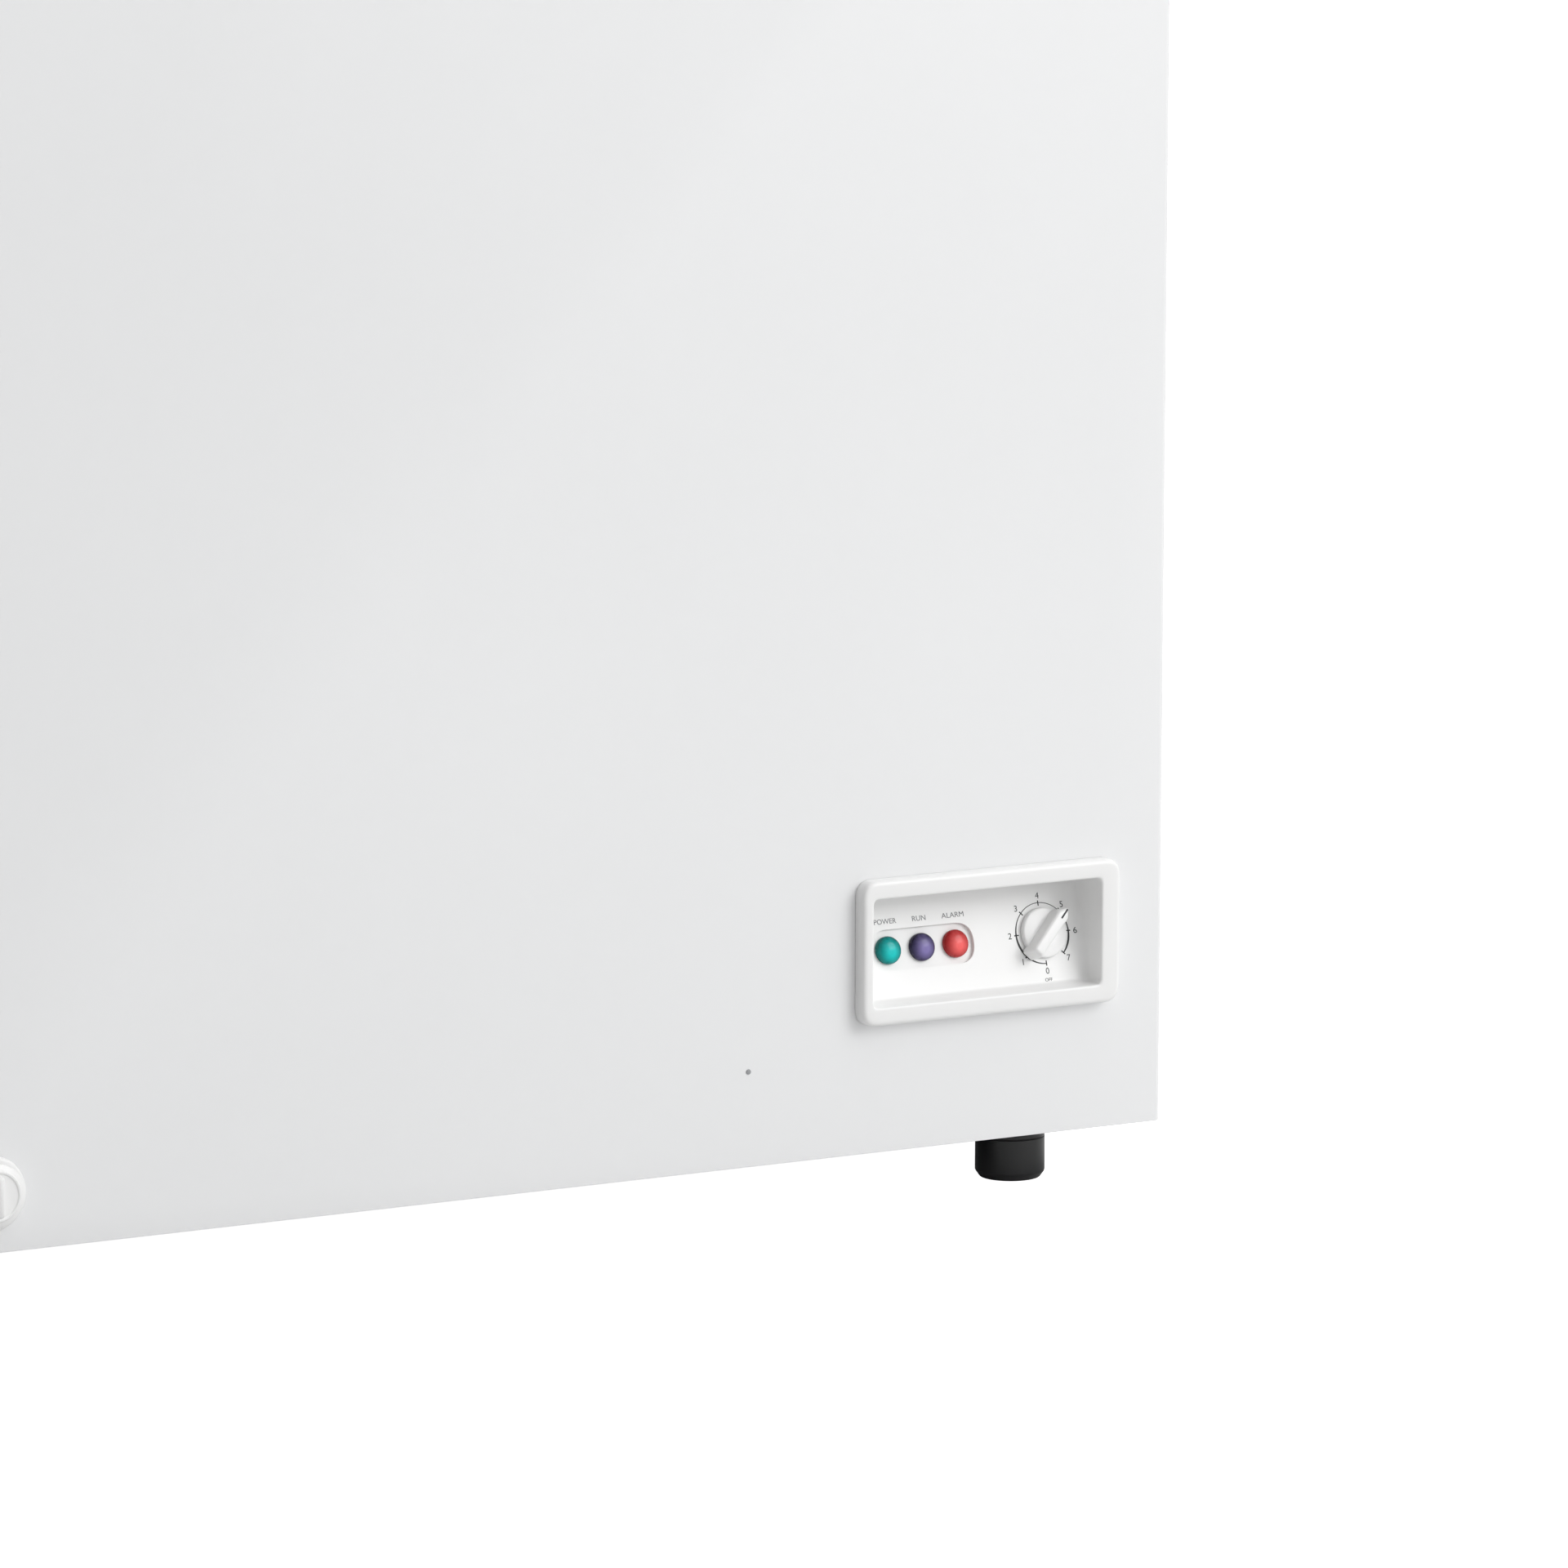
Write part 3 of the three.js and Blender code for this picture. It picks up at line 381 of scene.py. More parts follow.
# Turns a plate made in XY so that its face looks forward (-Y), to the right (+X) or back (+Y).
FACE_FRONT = Matrix(((1, 0, 0, 0), (0, 0, -1, 0), (0, 1, 0, 0), (0, 0, 0, 1)))
FACE_RIGHT = Matrix(((0, 0, 1, 0), (1, 0, 0, 0), (0, 1, 0, 0), (0, 0, 0, 1)))
FACE_BACK = Matrix(((1, 0, 0, 0), (0, 0, 1, 0), (0, 1, 0, 0), (0, 0, 0, 1)))


def moved(mesh, *transforms):
    """The mesh after each transform; a mirroring one has its faces turned the right way out again."""
    for transform in transforms:
        mesh.transform(transform)
        if transform.determinant() < 0:
            mesh.flip_normals()
    return mesh


def shift(x, y, z):
    """A move by so many millimetres."""
    return Matrix.Translation(Vector((x, y, z)) * MM)


def span(node):
    """A frame node's lowest and highest corners at rest, in millimetres."""
    return [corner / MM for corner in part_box(node)]


wrap_low, wrap_high = span("outer_wrap")
cabinet_half = wrap_high.x
front_face = wrap_low.y
cabinet_foot, cabinet_top = wrap_low.z, wrap_high.z
white_enamel = stock(
    "white_stoved_enamel",
    (0.86, 0.865, 0.87),
    0.24,
    mottle=0.012,
    grain=(1400.0, 0.012),
    waves=(2.2, 0.012),
    **{"Coat Weight": 0.35, "Coat Roughness": 0.12},
)
sheet = 1.0
bend = 3.2
landing = 22.0
past_back = 60.0
wrap_profile = fillet(
    [
        (0, cabinet_foot, 0.35),
        (0, cabinet_top, 2.4),
        (landing, cabinet_top, 0.4),
        (landing, cabinet_top - sheet, 0.3),
        (sheet, cabinet_top - sheet, 1.4),
        (sheet, cabinet_foot, 0.35),
    ],
    steps=5,
)
back_line = wrap_high.y * MM
wrap_rings = []
for inset, z in wrap_profile:
    ring = plan_ring(cabinet_half, front_face, wrap_high.y + past_back, bend, inset, z, steps=6)
    left_front_right = ring[20:] + ring[:8]
    wrap_rings.append([Vector((p.x, min(p.y, back_line), p.z)) for p in left_front_right])
wrap_mesh = skin_rings("outer_wrap_sheet", wrap_rings, closed_ring=False, closed_profile=True)
cutter_deep = 12.0
vent_rows, vent_columns = 3, 9
vent_pitch_y, vent_pitch_z = 34, 24
vent_cutters = []
for row in range(vent_rows):
    for column in range(vent_columns):
        y, z = -120 + vent_pitch_y * column, 84 + vent_pitch_z * row
        cutter = outline_plate("vent", rounded_box(y - 12, y + 12, z - 4, z + 4, 3.9), cutter_deep, 0.0)
        vent_cutters.append(moved(cutter, FACE_RIGHT, shift(cabinet_half - cutter_deep / 2, 0, 0)))
panel_low, panel_high = span("control_housing")
panel_hole_outline = rounded_box(panel_low.x + 4, panel_high.x - 9, panel_low.z + 7, panel_high.z - 7, 3)
panel_hole = outline_plate("panel_hole", panel_hole_outline, cutter_deep, 0.0)
duct_low, duct_high = span("drain_duct")
drain_hole_radius = 12.0
drain_x, drain_hole_z = (duct_low.x + duct_high.x) / 2, duct_low.z + 18
drain_hole = outline_plate("drain_hole", circle(drain_x, drain_hole_z, drain_hole_radius), cutter_deep, 0.0)
through_front = shift(0, front_face + cutter_deep / 2, 0)
front_cutters = [moved(cutter, FACE_FRONT, through_front) for cutter in (panel_hole, drain_hole)]
wrap_mesh = carved(wrap_mesh, joined("openings", [*vent_cutters, *front_cutters]))
place("outer_wrap_sheet", wrap_mesh, white_enamel, "cabinet", ["outer_wrap"], "cabinet_paint")


# ---------------------------------------------------------------- control housing
# One white ABS moulding pushed through the front sheet: a raised frame with soft edges, a shelf that leans
# back so that the dial can be read from above, and a shallow round-ended pocket for the three lamps.
white_abs = stock(
    "white_moulded_abs", (0.89, 0.89, 0.885), 0.3, mottle=0.01, grain=(2600.0, 0.01), **{"Coat Weight": 0.1}
)


def joint_entry(joint_name):
    """A joint's own entry in the record."""
    return next(joint for joint in frame["joints"] if joint["name"] == joint_name)


knob_joint = joint_entry("thermostat_turn")
into_face = Vector(knob_joint["axis"])
up_face = Vector((1, 0, 0)).cross(into_face)
# The shelf's own axes: X to the right, Z up the lean, Y into the cabinet, starting where the knob turns.
shelf = Matrix.Translation(Vector(knob_joint["pos_m"])) @ Matrix(
    ((1, 0, 0), tuple(into_face), tuple(up_face))
).transposed().to_4x4()
panel_front = panel_low.y
recess_x0, recess_x1 = panel_low.x + 6, panel_high.x - 11
recess_z0, recess_z1 = panel_low.z + 9.1, panel_high.z - 8.9
flange_back = front_face - 0.3
frame_depth = flange_back - panel_front
frame_corner, recess_corner = 8.5, 3.2


def upright_ring(x0, x1, z0, z1, radius, y, steps=7):
    """A ring of points round an upright rectangle with round corners, at one depth."""
    return [Vector((x, y, z)) * MM for x, z in rounded_box(x0, x1, z0, z1, radius, steps)]


def shelf_depth(z):
    """How far back the leaning shelf lies at height z."""
    point = Vector(knob_joint["pos_m"]) / MM
    return point.y + (z - point.z) * up_face.y / up_face.z


recess_wall = 2.0
shelf_thick = 4.7


def recess_ring(grow, y):
    """A ring round the recess at one depth, grown outwards into its walls."""
    edges = (recess_x0 - grow, recess_x1 + grow, recess_z0 - grow, recess_z1 + grow)
    return upright_ring(*edges, recess_corner, y)


behind_shelf = [Vector((p.x, (shelf_depth(p.z / MM) + shelf_thick) * MM, p.z)) for p in recess_ring(0, 0)]
frame_rings = [
    behind_shelf,
    recess_ring(0, panel_high.y),
    recess_ring(recess_wall, panel_high.y),
    recess_ring(recess_wall, flange_back),
]
outer_edge = fillet([(0, frame_depth, 0), (0, 0, 2.8), (8, 0, 0)], steps=6, closed=False)
for inset, back in outer_edge[:-1]:
    frame_rings.append(
        upright_ring(
            panel_low.x + inset, panel_high.x - inset, panel_low.z + inset, panel_high.z - inset,
            max(frame_corner - inset, 1), panel_front + back,
        )
    )
inner_edge = fillet([(-3, 0, 0), (0, 0, 1.3), (0, 4, 0)], steps=5, closed=False)
for inset, back in inner_edge[1:]:
    frame_rings.append(recess_ring(-inset, panel_front + back))
# The walls run into the shelf in a soft round, widest at the right where the moulding is deepest.
wall_round = ((0, 5.2), (0.5, 2.56), (1.8, 0.88), (4.3, 0.12), (6.5, 0))
right_spread = 1.35
for draft, rise in wall_round:
    level = upright_ring(
        recess_x0 + draft * 0.55, recess_x1 - draft * right_spread, recess_z0 + draft * 0.35,
        recess_z1 - draft * 0.5, max(recess_corner, 1.2 + draft * 0.5), 0,
    )
    frame_rings.append([Vector((p.x, (shelf_depth(p.z / MM) - rise) * MM, p.z)) for p in level])
housing = skin_rings("control_housing_moulding", frame_rings, caps=(True, True))
lamp_boxes = [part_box(name) for name in ("lamp_green", "lamp_blue", "lamp_red")]
lamp_spots = [shelf.inverted() @ ((low + high) / 2) / MM for low, high in lamp_boxes]
pocket_half = 10.0
pocket_deep = 2.0
lamp_row = -0.7
stem_bore, shaft_bore = 5.3, 4.3
pocket_outline = rounded_box(
    lamp_spots[0].x - pocket_half, lamp_spots[2].x + pocket_half, lamp_row - pocket_half,
    lamp_row + pocket_half, pocket_half - 0.1, steps=12,
)


onto_shelf = shelf @ FACE_FRONT
pocket = moved(outline_plate("pocket", pocket_outline, 6, 0.0), shift(0, 0, -pocket_deep), onto_shelf)
bores = [circle(spot.x, lamp_row, stem_bore) for spot in lamp_spots] + [circle(0, 0, shaft_bore)]
bored = [moved(outline_plate("bore", outline, 20, 0.0), shift(0, 0, -14), onto_shelf) for outline in bores]
housing = carved(housing, pocket, joined("bores", bored))
place(
    "control_housing_moulding", housing, white_abs, "cabinet", ["control_housing"], "white_plastic", sharp=40
)


# ---------------------------------------------------------------- printing on the shelf
# Pad printing in black on the white moulding: a thin ring that thickens in two places, a tick
# and a figure at each of the dial's eight settings, and a word above each lamp.
def ink(name, colour):
    """Printing ink: matt, a little uneven, as it dries."""
    return stock(name, colour, 0.55, mottle=0.25, grain=(3000.0, 0.004))


black_ink = ink("black_pad_ink", (0.03, 0.03, 0.032))
grey_ink = ink("grey_pad_ink", (0.2, 0.2, 0.21))
ink_thick = 0.06
ring_radius = 15.0
ring_half_wide, ring_swell = 0.17, 0.36
figure_radius, figure_tall = 18.6, 3.0
off_row, off_tall = -23.0, 1.7
label_rise, label_tall = 14.0, 2.5
label_widths = (12.6, 7.6, 12.6)
settings = 8
setting_turn = math.radians(45)


def lettering(text, x, y, tall, wide=None):
    """A word or figure as a flat mesh centred on x, y: tall millimetres high and, if given, wide across."""
    curve = bpy.data.curves.new(text, "FONT")
    curve.body = text
    curve.align_x = "CENTER"
    curve.extrude = 0.02
    mesh = baked(set_out(text, curve))
    low = Vector([min(v.co[i] for v in mesh.vertices) for i in range(3)])
    high = Vector([max(v.co[i] for v in mesh.vertices) for i in range(3)])
    size = high - low
    up = tall * MM / size.y
    across = wide * MM / size.x if wide else up
    mesh.transform(Matrix.Translation(-(low + high) / 2))
    mesh.transform(Matrix.Diagonal((across, up, ink_thick * MM / size.z, 1)))
    mesh.transform(shift(x, y, ink_thick / 2))
    return mesh


def setting_angle(setting):
    """Clockwise from straight up, seen from the front: 0 at the foot of the dial, 4 at its head."""
    return setting_turn * setting - math.pi


def dial_point(radius, angle):
    """The point on the shelf at this distance and clockwise angle from the knob's axis."""
    return (radius * math.sin(angle), radius * math.cos(angle))


ring_steps = 80
sweep = [setting_angle((settings - 1) * i / ring_steps) for i in range(ring_steps + 1)]
swell = []
for i in range(ring_steps + 1):
    setting = (settings - 1) * i / ring_steps
    near_low, near_high = math.exp(-((setting - 1.4) ** 2)), math.exp(-((setting - 6.4) ** 2) * 3)
    swell.append(ring_half_wide + ring_swell * near_low + ring_swell * near_high)
ring_outline = [dial_point(ring_radius - half, angle) for half, angle in zip(swell, sweep)]
ring_outline += [dial_point(ring_radius + half, angle) for half, angle in zip(swell, sweep)][::-1]
prints = [outline_plate("dial_ring", ring_outline, ink_thick, 0.0)]
tick_in, tick_out, tick_half = ring_radius - 1.5, ring_radius + 1.1, 0.3
tick = [(-tick_half, tick_in), (tick_half, tick_in), (tick_half, tick_out), (-tick_half, tick_out)]
for setting in range(settings):
    angle = setting_angle(setting)
    tick_mesh = outline_plate("tick", tick, ink_thick, 0.0)
    prints.append(moved(tick_mesh, Matrix.Rotation(-angle, 4, "Z")))
    prints.append(lettering(str(setting), *dial_point(figure_radius, angle), figure_tall))
prints.append(lettering("OFF", 0, off_row, off_tall))
dial_print = moved(joined("dial_print", prints), onto_shelf)


def round_height(x):
    """How far the soft round at the foot of the right wall stands above the flat of the shelf at x."""
    away = (recess_x1 - x) / right_spread
    for (near, high), (far, low) in zip(wall_round, wall_round[1:]):
        if near <= away < far:
            return high + (low - high) * (away - near) / (far - near)
    return 0.0


for vertex in dial_print.vertices:
    vertex.co.y -= round_height(vertex.co.x / MM) * MM
place("dial_print", dial_print, black_ink, "cabinet")
labels = zip(("POWER", "RUN", "ALARM"), lamp_spots, label_widths)
words = [lettering(word, spot.x, lamp_row + label_rise, label_tall, wide) for word, spot, wide in labels]
place("lamp_label_print", moved(joined("lamp_label_print", words), onto_shelf), grey_ink, "cabinet")


# ---------------------------------------------------------------- pilot lamps
# Three domed lenses of clear coloured polycarbonate, pushed into the pocket from the front and held by their
# stems; their colour carries painted light: a painted highlight in the middle and painted shade at the rim.
def lens(name, painted_highlight_colour, edge):
    """Coloured clear plastic with painted light: a painted highlight in the middle of the dome, painted shade
    at its rim.
    """
    made = bpy.data.materials.new(name)
    add = node_tree(made)
    spread = add("ShaderNodeTexCoord").outputs["Generated"]
    centred = add("ShaderNodeVectorMath", {0: spread}, operation="SUBTRACT")
    centred.inputs[1].default_value = (0.5, 0.0, 0.5)
    flat = add("ShaderNodeVectorMath", {0: centred.outputs[0]}, operation="MULTIPLY")
    flat.inputs[1].default_value = (2.0, 0.0, 2.0)
    reach = add("ShaderNodeVectorMath", {0: flat.outputs[0]}, operation="LENGTH").outputs["Value"]
    # painted shade: the colour darkens from the dome's middle out to its rim, leaving a painted highlight in
    # the middle
    painted_rim_shade = ranged(add, reach, 0.0, 1.0, 0.25, 1.0)
    ripple = add("ShaderNodeTexNoise", {"Vector": spread}, Scale=5.0, Detail=3.0).outputs["Fac"]
    waver = add("ShaderNodeMath", {0: ripple}, operation="MULTIPLY_ADD")
    waver.inputs[1].default_value = 0.5
    waver.inputs[2].default_value = 0.75
    painted_light_factor = add("ShaderNodeMath", {0: painted_rim_shade, 1: waver.outputs[0]}, operation="MULTIPLY").outputs[0]
    dimple = add("ShaderNodeBump", {"Height": ripple}, Distance=0.02 * MM).outputs[0]
    # the base colour runs from the painted highlight colour in the middle to the edge colour, a painted rim
    # shade
    finished(add, {"Base Color": shaded(add, painted_light_factor, painted_highlight_colour, edge), "Normal": dimple}, Roughness=0.14, IOR=1.34)
    return made


def turned(name, profile, steps=48, close=True):
    """A piece turned about the Z axis from a profile of (radius, height) points, closed unless told."""
    rings = []
    for radius, height in profile:
        rings.append([Vector((x, y, height)) * MM for x, y in circle(0, 0, max(radius, 0.0), steps)])
    return welded(skin_rings(name, rings, closed_profile=close))


lens_radius, dome_radius = 6.9, 6.8
stem_radius, stem_long = 5, 8.2
dome_steps, dome_foot, dome_rise = 10, 1.4, 3.3
lens_profile = [(0, -stem_long), (stem_radius, -stem_long), (stem_radius, 0)]
lens_profile += fillet([(lens_radius, 0, 0), (lens_radius, 1.0, 0.6), (dome_radius, dome_foot, 0)], 3, False)
for step in range(1, dome_steps + 1):
    turn = math.pi / 2 * step / dome_steps
    lens_profile.append((dome_radius * math.cos(turn), dome_foot + dome_rise * math.sin(turn)))
# for each lamp: the painted highlight colour for the dome's middle, then the painted shade colour for its rim
lens_highlight_and_shade_colours = {
    "lamp_green": ((0.008, 0.58, 0.56), (0.0, 0.13, 0.12)),
    "lamp_blue": ((0.23, 0.19, 0.44), (0.012, 0.008, 0.035)),
    "lamp_red": ((0.95, 0.145, 0.14), (0.36, 0.008, 0.01)),
}
for (lamp_name, (painted_highlight_colour, edge)), spot in zip(lens_highlight_and_shade_colours.items(), lamp_spots):
    dome = turned(f"{lamp_name}_lens", lens_profile)
    moved(dome, shift(spot.x, lamp_row, -pocket_deep + 0.2), onto_shelf)
    clear = lens(f"{lamp_name}_polycarbonate", painted_highlight_colour, edge)
    slot = lamp_name.split("_")[1] + "_lens"
    place(f"{lamp_name}_lens", dome, clear, "cabinet", [lamp_name], slot)


# ---------------------------------------------------------------- thermostat knob
# A white moulded disc with a tall finger bar across it, pushed on to the thermostat's flatted shaft; the
# bar's pointed end carries a black line, and points at the chosen figure.
disc_radius = 12.4
disc_profile = fillet(
    [(0, 0.3, 0), (disc_radius, 0.3, 0.4), (disc_radius, 3.2, 1.1), (7.0, 3.6, 1.5), (0, 3.6, 0)], 4, False
)
knob_disc = turned("knob_disc", disc_profile, 64)
bar_half_wide, bar_half_long = 3.5, 15.4
bar_levels = [(0.0, 1.0), (0.0, 2.0), (0.25, 7.0), (0.45, 9.6), (0.8, 10.6), (1.25, 11.1), (1.8, 11.3)]
socket_radius, socket_deep = 3.1, 7.5
drawn_setting = math.radians(45)


def bar_ring(inset, height):
    """The finger bar's outline at one height: a round tail and a pointed head."""
    wide, long = bar_half_wide - inset, bar_half_long - inset
    corners = [
        (-wide, -long, 1.6), (wide, -long, 1.6), (wide * 1.12, long - 4.5, 1.5), (0, long, 0.9),
        (-wide * 1.12, long - 4.5, 1.5),
    ]
    return [Vector((p.x, p.y, height)) * MM for p in fillet(corners, 5)]


knob_bar = welded(skin_rings("knob_bar", [bar_ring(*level) for level in bar_levels], caps=(True, True)))
knob_mesh = carved(knob_disc, knob_bar, union=True)
socket = outline_plate("socket", circle(0, 0, socket_radius), socket_deep + 0.5, 0.0)
knob_mesh = carved(knob_mesh, moved(socket, shift(0, 0, -0.5)))
pointed_at = Matrix.Rotation(-drawn_setting, 4, "Z")
place(
    "thermostat_knob_moulding", moved(knob_mesh, pointed_at, onto_shelf), white_abs, "knob",
    ["thermostat_knob"], "white_plastic", sharp=32,
)
pointer = outline_plate("pointer", rounded_box(-0.45, 0.45, 7.5, 13.4, 0.4), ink_thick, 0.0)
pointer_top = bar_levels[-1][1] + 0.01
moved(pointer, shift(0, 0, pointer_top), pointed_at, onto_shelf)
place("knob_pointer_print", pointer, black_ink, "knob")


# ---------------------------------------------------------------- levelling feet
# Four screw-in feet of black polypropylene: a round pad with a softened lower edge, and a steel-cored stud
# whose thread runs up into a boss in the base, so that a turn of the pad raises or lowers its corner.
black_polypropylene = stock(
    "black_polypropylene", (0.008, 0.008, 0.009), 0.34, mottle=0.3, grain=(1800.0, 0.02),
    **{"Coat Weight": 0.15}
)
foot_names = ["foot_front_left", "foot_front_right", "foot_rear_left", "foot_rear_right"]
thread_pitch = 1.5
for foot_name in foot_names:
    foot_low, foot_high = span(foot_name)
    pad_radius = (foot_high.x - foot_low.x) / 2
    collar = cabinet_foot - 0.4
    pad = [
        (0, 1.2, 0), (pad_radius - 9, 1.2, 0.6), (pad_radius - 8, 0, 0.4), (pad_radius - 2.6, 0, 1.5),
        (pad_radius - 0.15, 3.4, 2.2), (pad_radius - 0.15, 20.4, 0.3), (pad_radius - 0.7, 20.8, 0.2),
        (pad_radius - 0.15, 21.2, 0.3), (pad_radius - 0.25, 26, 1.0), (8.4, 26, 0.4), (8.4, collar, 0.5),
        (4.9, collar, 0),
    ]
    foot_profile = fillet(pad, 4, closed=False)
    height = collar
    while height + thread_pitch < foot_high.z - 1:
        foot_profile += [(4.15, height + thread_pitch * 0.45), (4.9, height + thread_pitch)]
        height += thread_pitch
    foot_profile += [(4.2, foot_high.z), (0, foot_high.z)]
    foot_mesh = turned(foot_name + "_pad", foot_profile, 56)
    centre = (foot_low + foot_high) / 2
    place(
        foot_name + "_pad", moved(foot_mesh, shift(centre.x, centre.y, 0)), black_polypropylene, foot_name,
        [foot_name], "black_plastic", sharp=40,
    )


# ---------------------------------------------------------------- defrost drain
# White mouldings low on the front: a ring that lines the hole and carries the elbow up to the liner's plug
# hole, a spout that draws out through it, and a dial on the spout's end that opens or shuts the way out.
spout_low, spout_high = span("drain_spout")
dial_low, dial_high = span("drain_dial")
drain_z = (dial_low.z + dial_high.z) / 2
drain_axis = FACE_FRONT.copy()
drain_axis.translation = Vector((drain_x, front_face, drain_z)) * MM
pipe_outer, pipe_bore = 11.0, 9.3
flange_radius, riser_flange, flange_thick = 18.0, 16, 2
elbow_y = duct_high.y - riser_flange
duct_back = front_face - elbow_y
ring_profile = [
    (pipe_bore, 0, 0), (pipe_bore, 2.6, 0.4), (17.0, 2.6, 1.2), (flange_radius, 0.3, 0.4),
    (pipe_outer, 0.3, 0),
    (pipe_outer, duct_back, 0), (0, duct_back, 0), (0, duct_back + 1.7, 0), (pipe_bore, duct_back + 1.7, 0),
]
duct_mesh = turned("drain_duct", fillet(ring_profile, 4), 48)
moved(duct_mesh, drain_axis)
liner_floor = duct_high.z
under_flange, riser_foot = liner_floor - flange_thick, drain_z - 6
riser_profile = [
    (pipe_outer, riser_foot), (pipe_outer, under_flange), (riser_flange, under_flange),
    (riser_flange, liner_floor), (pipe_bore, liner_floor), (pipe_bore, riser_foot),
]
riser = turned("riser", riser_profile, 48)
duct_mesh = carved(duct_mesh, moved(riser, shift(drain_x, elbow_y, 0)), union=True)
clear_way = outline_plate("clear_way", circle(drain_x, elbow_y, pipe_bore), 60, 0.0)
duct_mesh = carved(duct_mesh, moved(clear_way, shift(0, 0, drain_z)))
place("drain_duct_moulding", duct_mesh, white_abs, "cabinet", ["drain_duct"], "white_plastic")
spout_front = front_face - spout_low.y
spout_back = front_face - spout_high.y
spout_profile = [
    (6.5, spout_back, 0.2), (6.5, spout_front - 11, 0), (0, spout_front - 11, 0), (0, spout_front - 0.1, 0),
    (9.0, spout_front - 0.1, 0.4), (9.0, 2, 0.2), (8.6, 1.4, 0.2), (9.0, 0.8, 0.2), (9.0, spout_back, 0.3),
]
spout_mesh = turned("drain_spout", fillet(spout_profile, 3), 48)
moved(spout_mesh, drain_axis)
place("drain_spout_moulding", spout_mesh, white_abs, "spout", ["drain_spout"], "white_plastic")
dial_front = front_face - dial_low.y
cap_face = dial_front - 4.0
dial_radius = 15.0
dial_profile = [
    (0, 6.1, 0), (9.3, 6.1, 0), (9.3, 2.95, 0.1), (14.2, 2.95, 0.3), (dial_radius, 3.6, 0.5),
    (dial_radius, cap_face - 1.8, 0.8), (12.4, cap_face - 0.9, 0.8), (11.9, cap_face, 0.3),
    (11.0, cap_face, 0.3), (10.5, cap_face - 0.5, 0.3),
    (0, cap_face - 0.4, 0),
]
dial_mesh = turned("drain_dial", fillet(dial_profile, 4, closed=False), 64)
fin_wide, fin_long = 2.4, 9.8
fin_levels = [(0.0, cap_face - 2), (0.15, dial_front - 1.2), (0.5, dial_front - 0.4), (1.1, dial_front)]
fin_rings = []
for i, level in fin_levels:
    fin_outline = rounded_box(-fin_wide + i, fin_wide - i, -fin_long + i, fin_long - i, 2.0 - i * 0.5)
    fin_rings.append([Vector((x, y, level)) * MM for x, y in fin_outline])
dial_mesh = carved(dial_mesh, skin_rings("dial_grip", fin_rings, caps=(True, True)), union=True)
place("drain_dial_moulding", moved(dial_mesh, drain_axis), white_abs, "dial", ["drain_dial"], "white_plastic")


# ---------------------------------------------------------------- blind plug in the front sheet
# A grey pin-head that fills the small hole between drain and control panel, left from hanging the sheet
# on the paint line.
grey_plug = stock("grey_blind_plug", (0.33, 0.34, 0.35), 0.5, mottle=0.15, grain=(4000.0, 0.01))
plug_at = (panel_low.x - 59.5, drain_z + 18.6)
pin_corners = [(0, -2, 0), (0.9, -2, 0), (0.9, 0, 0), (1.25, 0, 0.1), (1.25, 0.5, 0.4), (0, 0.6, 0)]
pin_head = turned("front_blind_plug", fillet(pin_corners, 3, False), 24)
moved(pin_head, FACE_FRONT, shift(plug_at[0], front_face, plug_at[1]))
place("front_blind_plug", pin_head, grey_plug, "cabinet")


# ---------------------------------------------------------------- rear panel
# A flat sheet of painted steel that closes the back, folded forward at the top as the rear landing for the
# seal, stiffened by upright pressed ribs and screwed to the wrap down both edges.
back_low, back_high = span("rear_panel")
cover_low, cover_high = span("service_cover")
cover_lap = 8
service_hole = rounded_box(
    cover_low.x + cover_lap, cover_high.x - cover_lap, cover_low.z + cover_lap, cover_high.z - cover_lap, 4
)
back_outline = rounded_box(back_low.x, back_high.x, back_low.z, back_high.z, 1.0)
back_sheet = outline_plate("back_sheet", back_outline, sheet, 0.25, holes=[service_hole])
moved(back_sheet, FACE_BACK, shift(0, back_high.y - sheet, 0))
landing_half = cabinet_half - landing - 0.3
landing_outline = rounded_box(-landing_half, landing_half, back_low.y, back_high.y, 0.8)
rear_landing = outline_plate("rear_landing", landing_outline, sheet, 0.25)
moved(rear_landing, shift(0, 0, back_high.z - sheet))


def pressing(outline_at, levels):
    """A pressed form: one outline at each (inset, rise), capped at both ends, raised along Z."""
    rings = [[Vector((x, y, rise)) * MM for x, y in outline_at(inset)] for inset, rise in levels]
    return skin_rings("pressing", rings, caps=(True, True))


rib_levels = [(0, -0.6), (0, 0), (0.8, 0.25), (2.2, 1.2), (3.6, 1.9), (5.6, 2.2)]
rib_count, rib_pitch, rib_half, rib_foot, rib_head = 7, 110, 8, 90, 610
ribs = []
for column in range(rib_count):
    x = rib_pitch * (column - 3)
    foot_z = rib_foot if x < cover_low.x - 20 else cover_high.z + 40

    def rib_outline(inset):
        edges = (x - rib_half + inset, x + rib_half - inset, foot_z + inset, rib_head - inset)
        return rounded_box(*edges, 7.8 - inset, 6)

    ribs.append(moved(pressing(rib_outline, rib_levels), FACE_BACK, shift(0, back_high.y, 0)))
rear_sheet = joined("rear_panel_sheet", [back_sheet, rear_landing, *ribs])
place("rear_panel_sheet", rear_sheet, white_enamel, "cabinet", ["rear_panel"], "cabinet_paint")


def screw(head=3.6, tall=2.1):
    """A pan-head screw seen from above, with a cross recess."""
    corners = [(0, -4, 0), (1.8, -4, 0), (1.8, 0, 0), (head, 0, 0.2), (head, tall * 0.55, 0.8)]
    corners.append((head * 0.5, tall, 1.2))
    body = turned("screw", fillet(corners, 4, False) + [(0, tall)], 28)
    slots = [
        moved(outline_plate("slot", rounded_box(-w, w, -t, t, 0.15), 3, 0.0), shift(0, 0, tall - 1.1))
        for w, t in ((head * 0.52, 0.42), (0.42, head * 0.52))
    ]
    return carved(body, *slots)


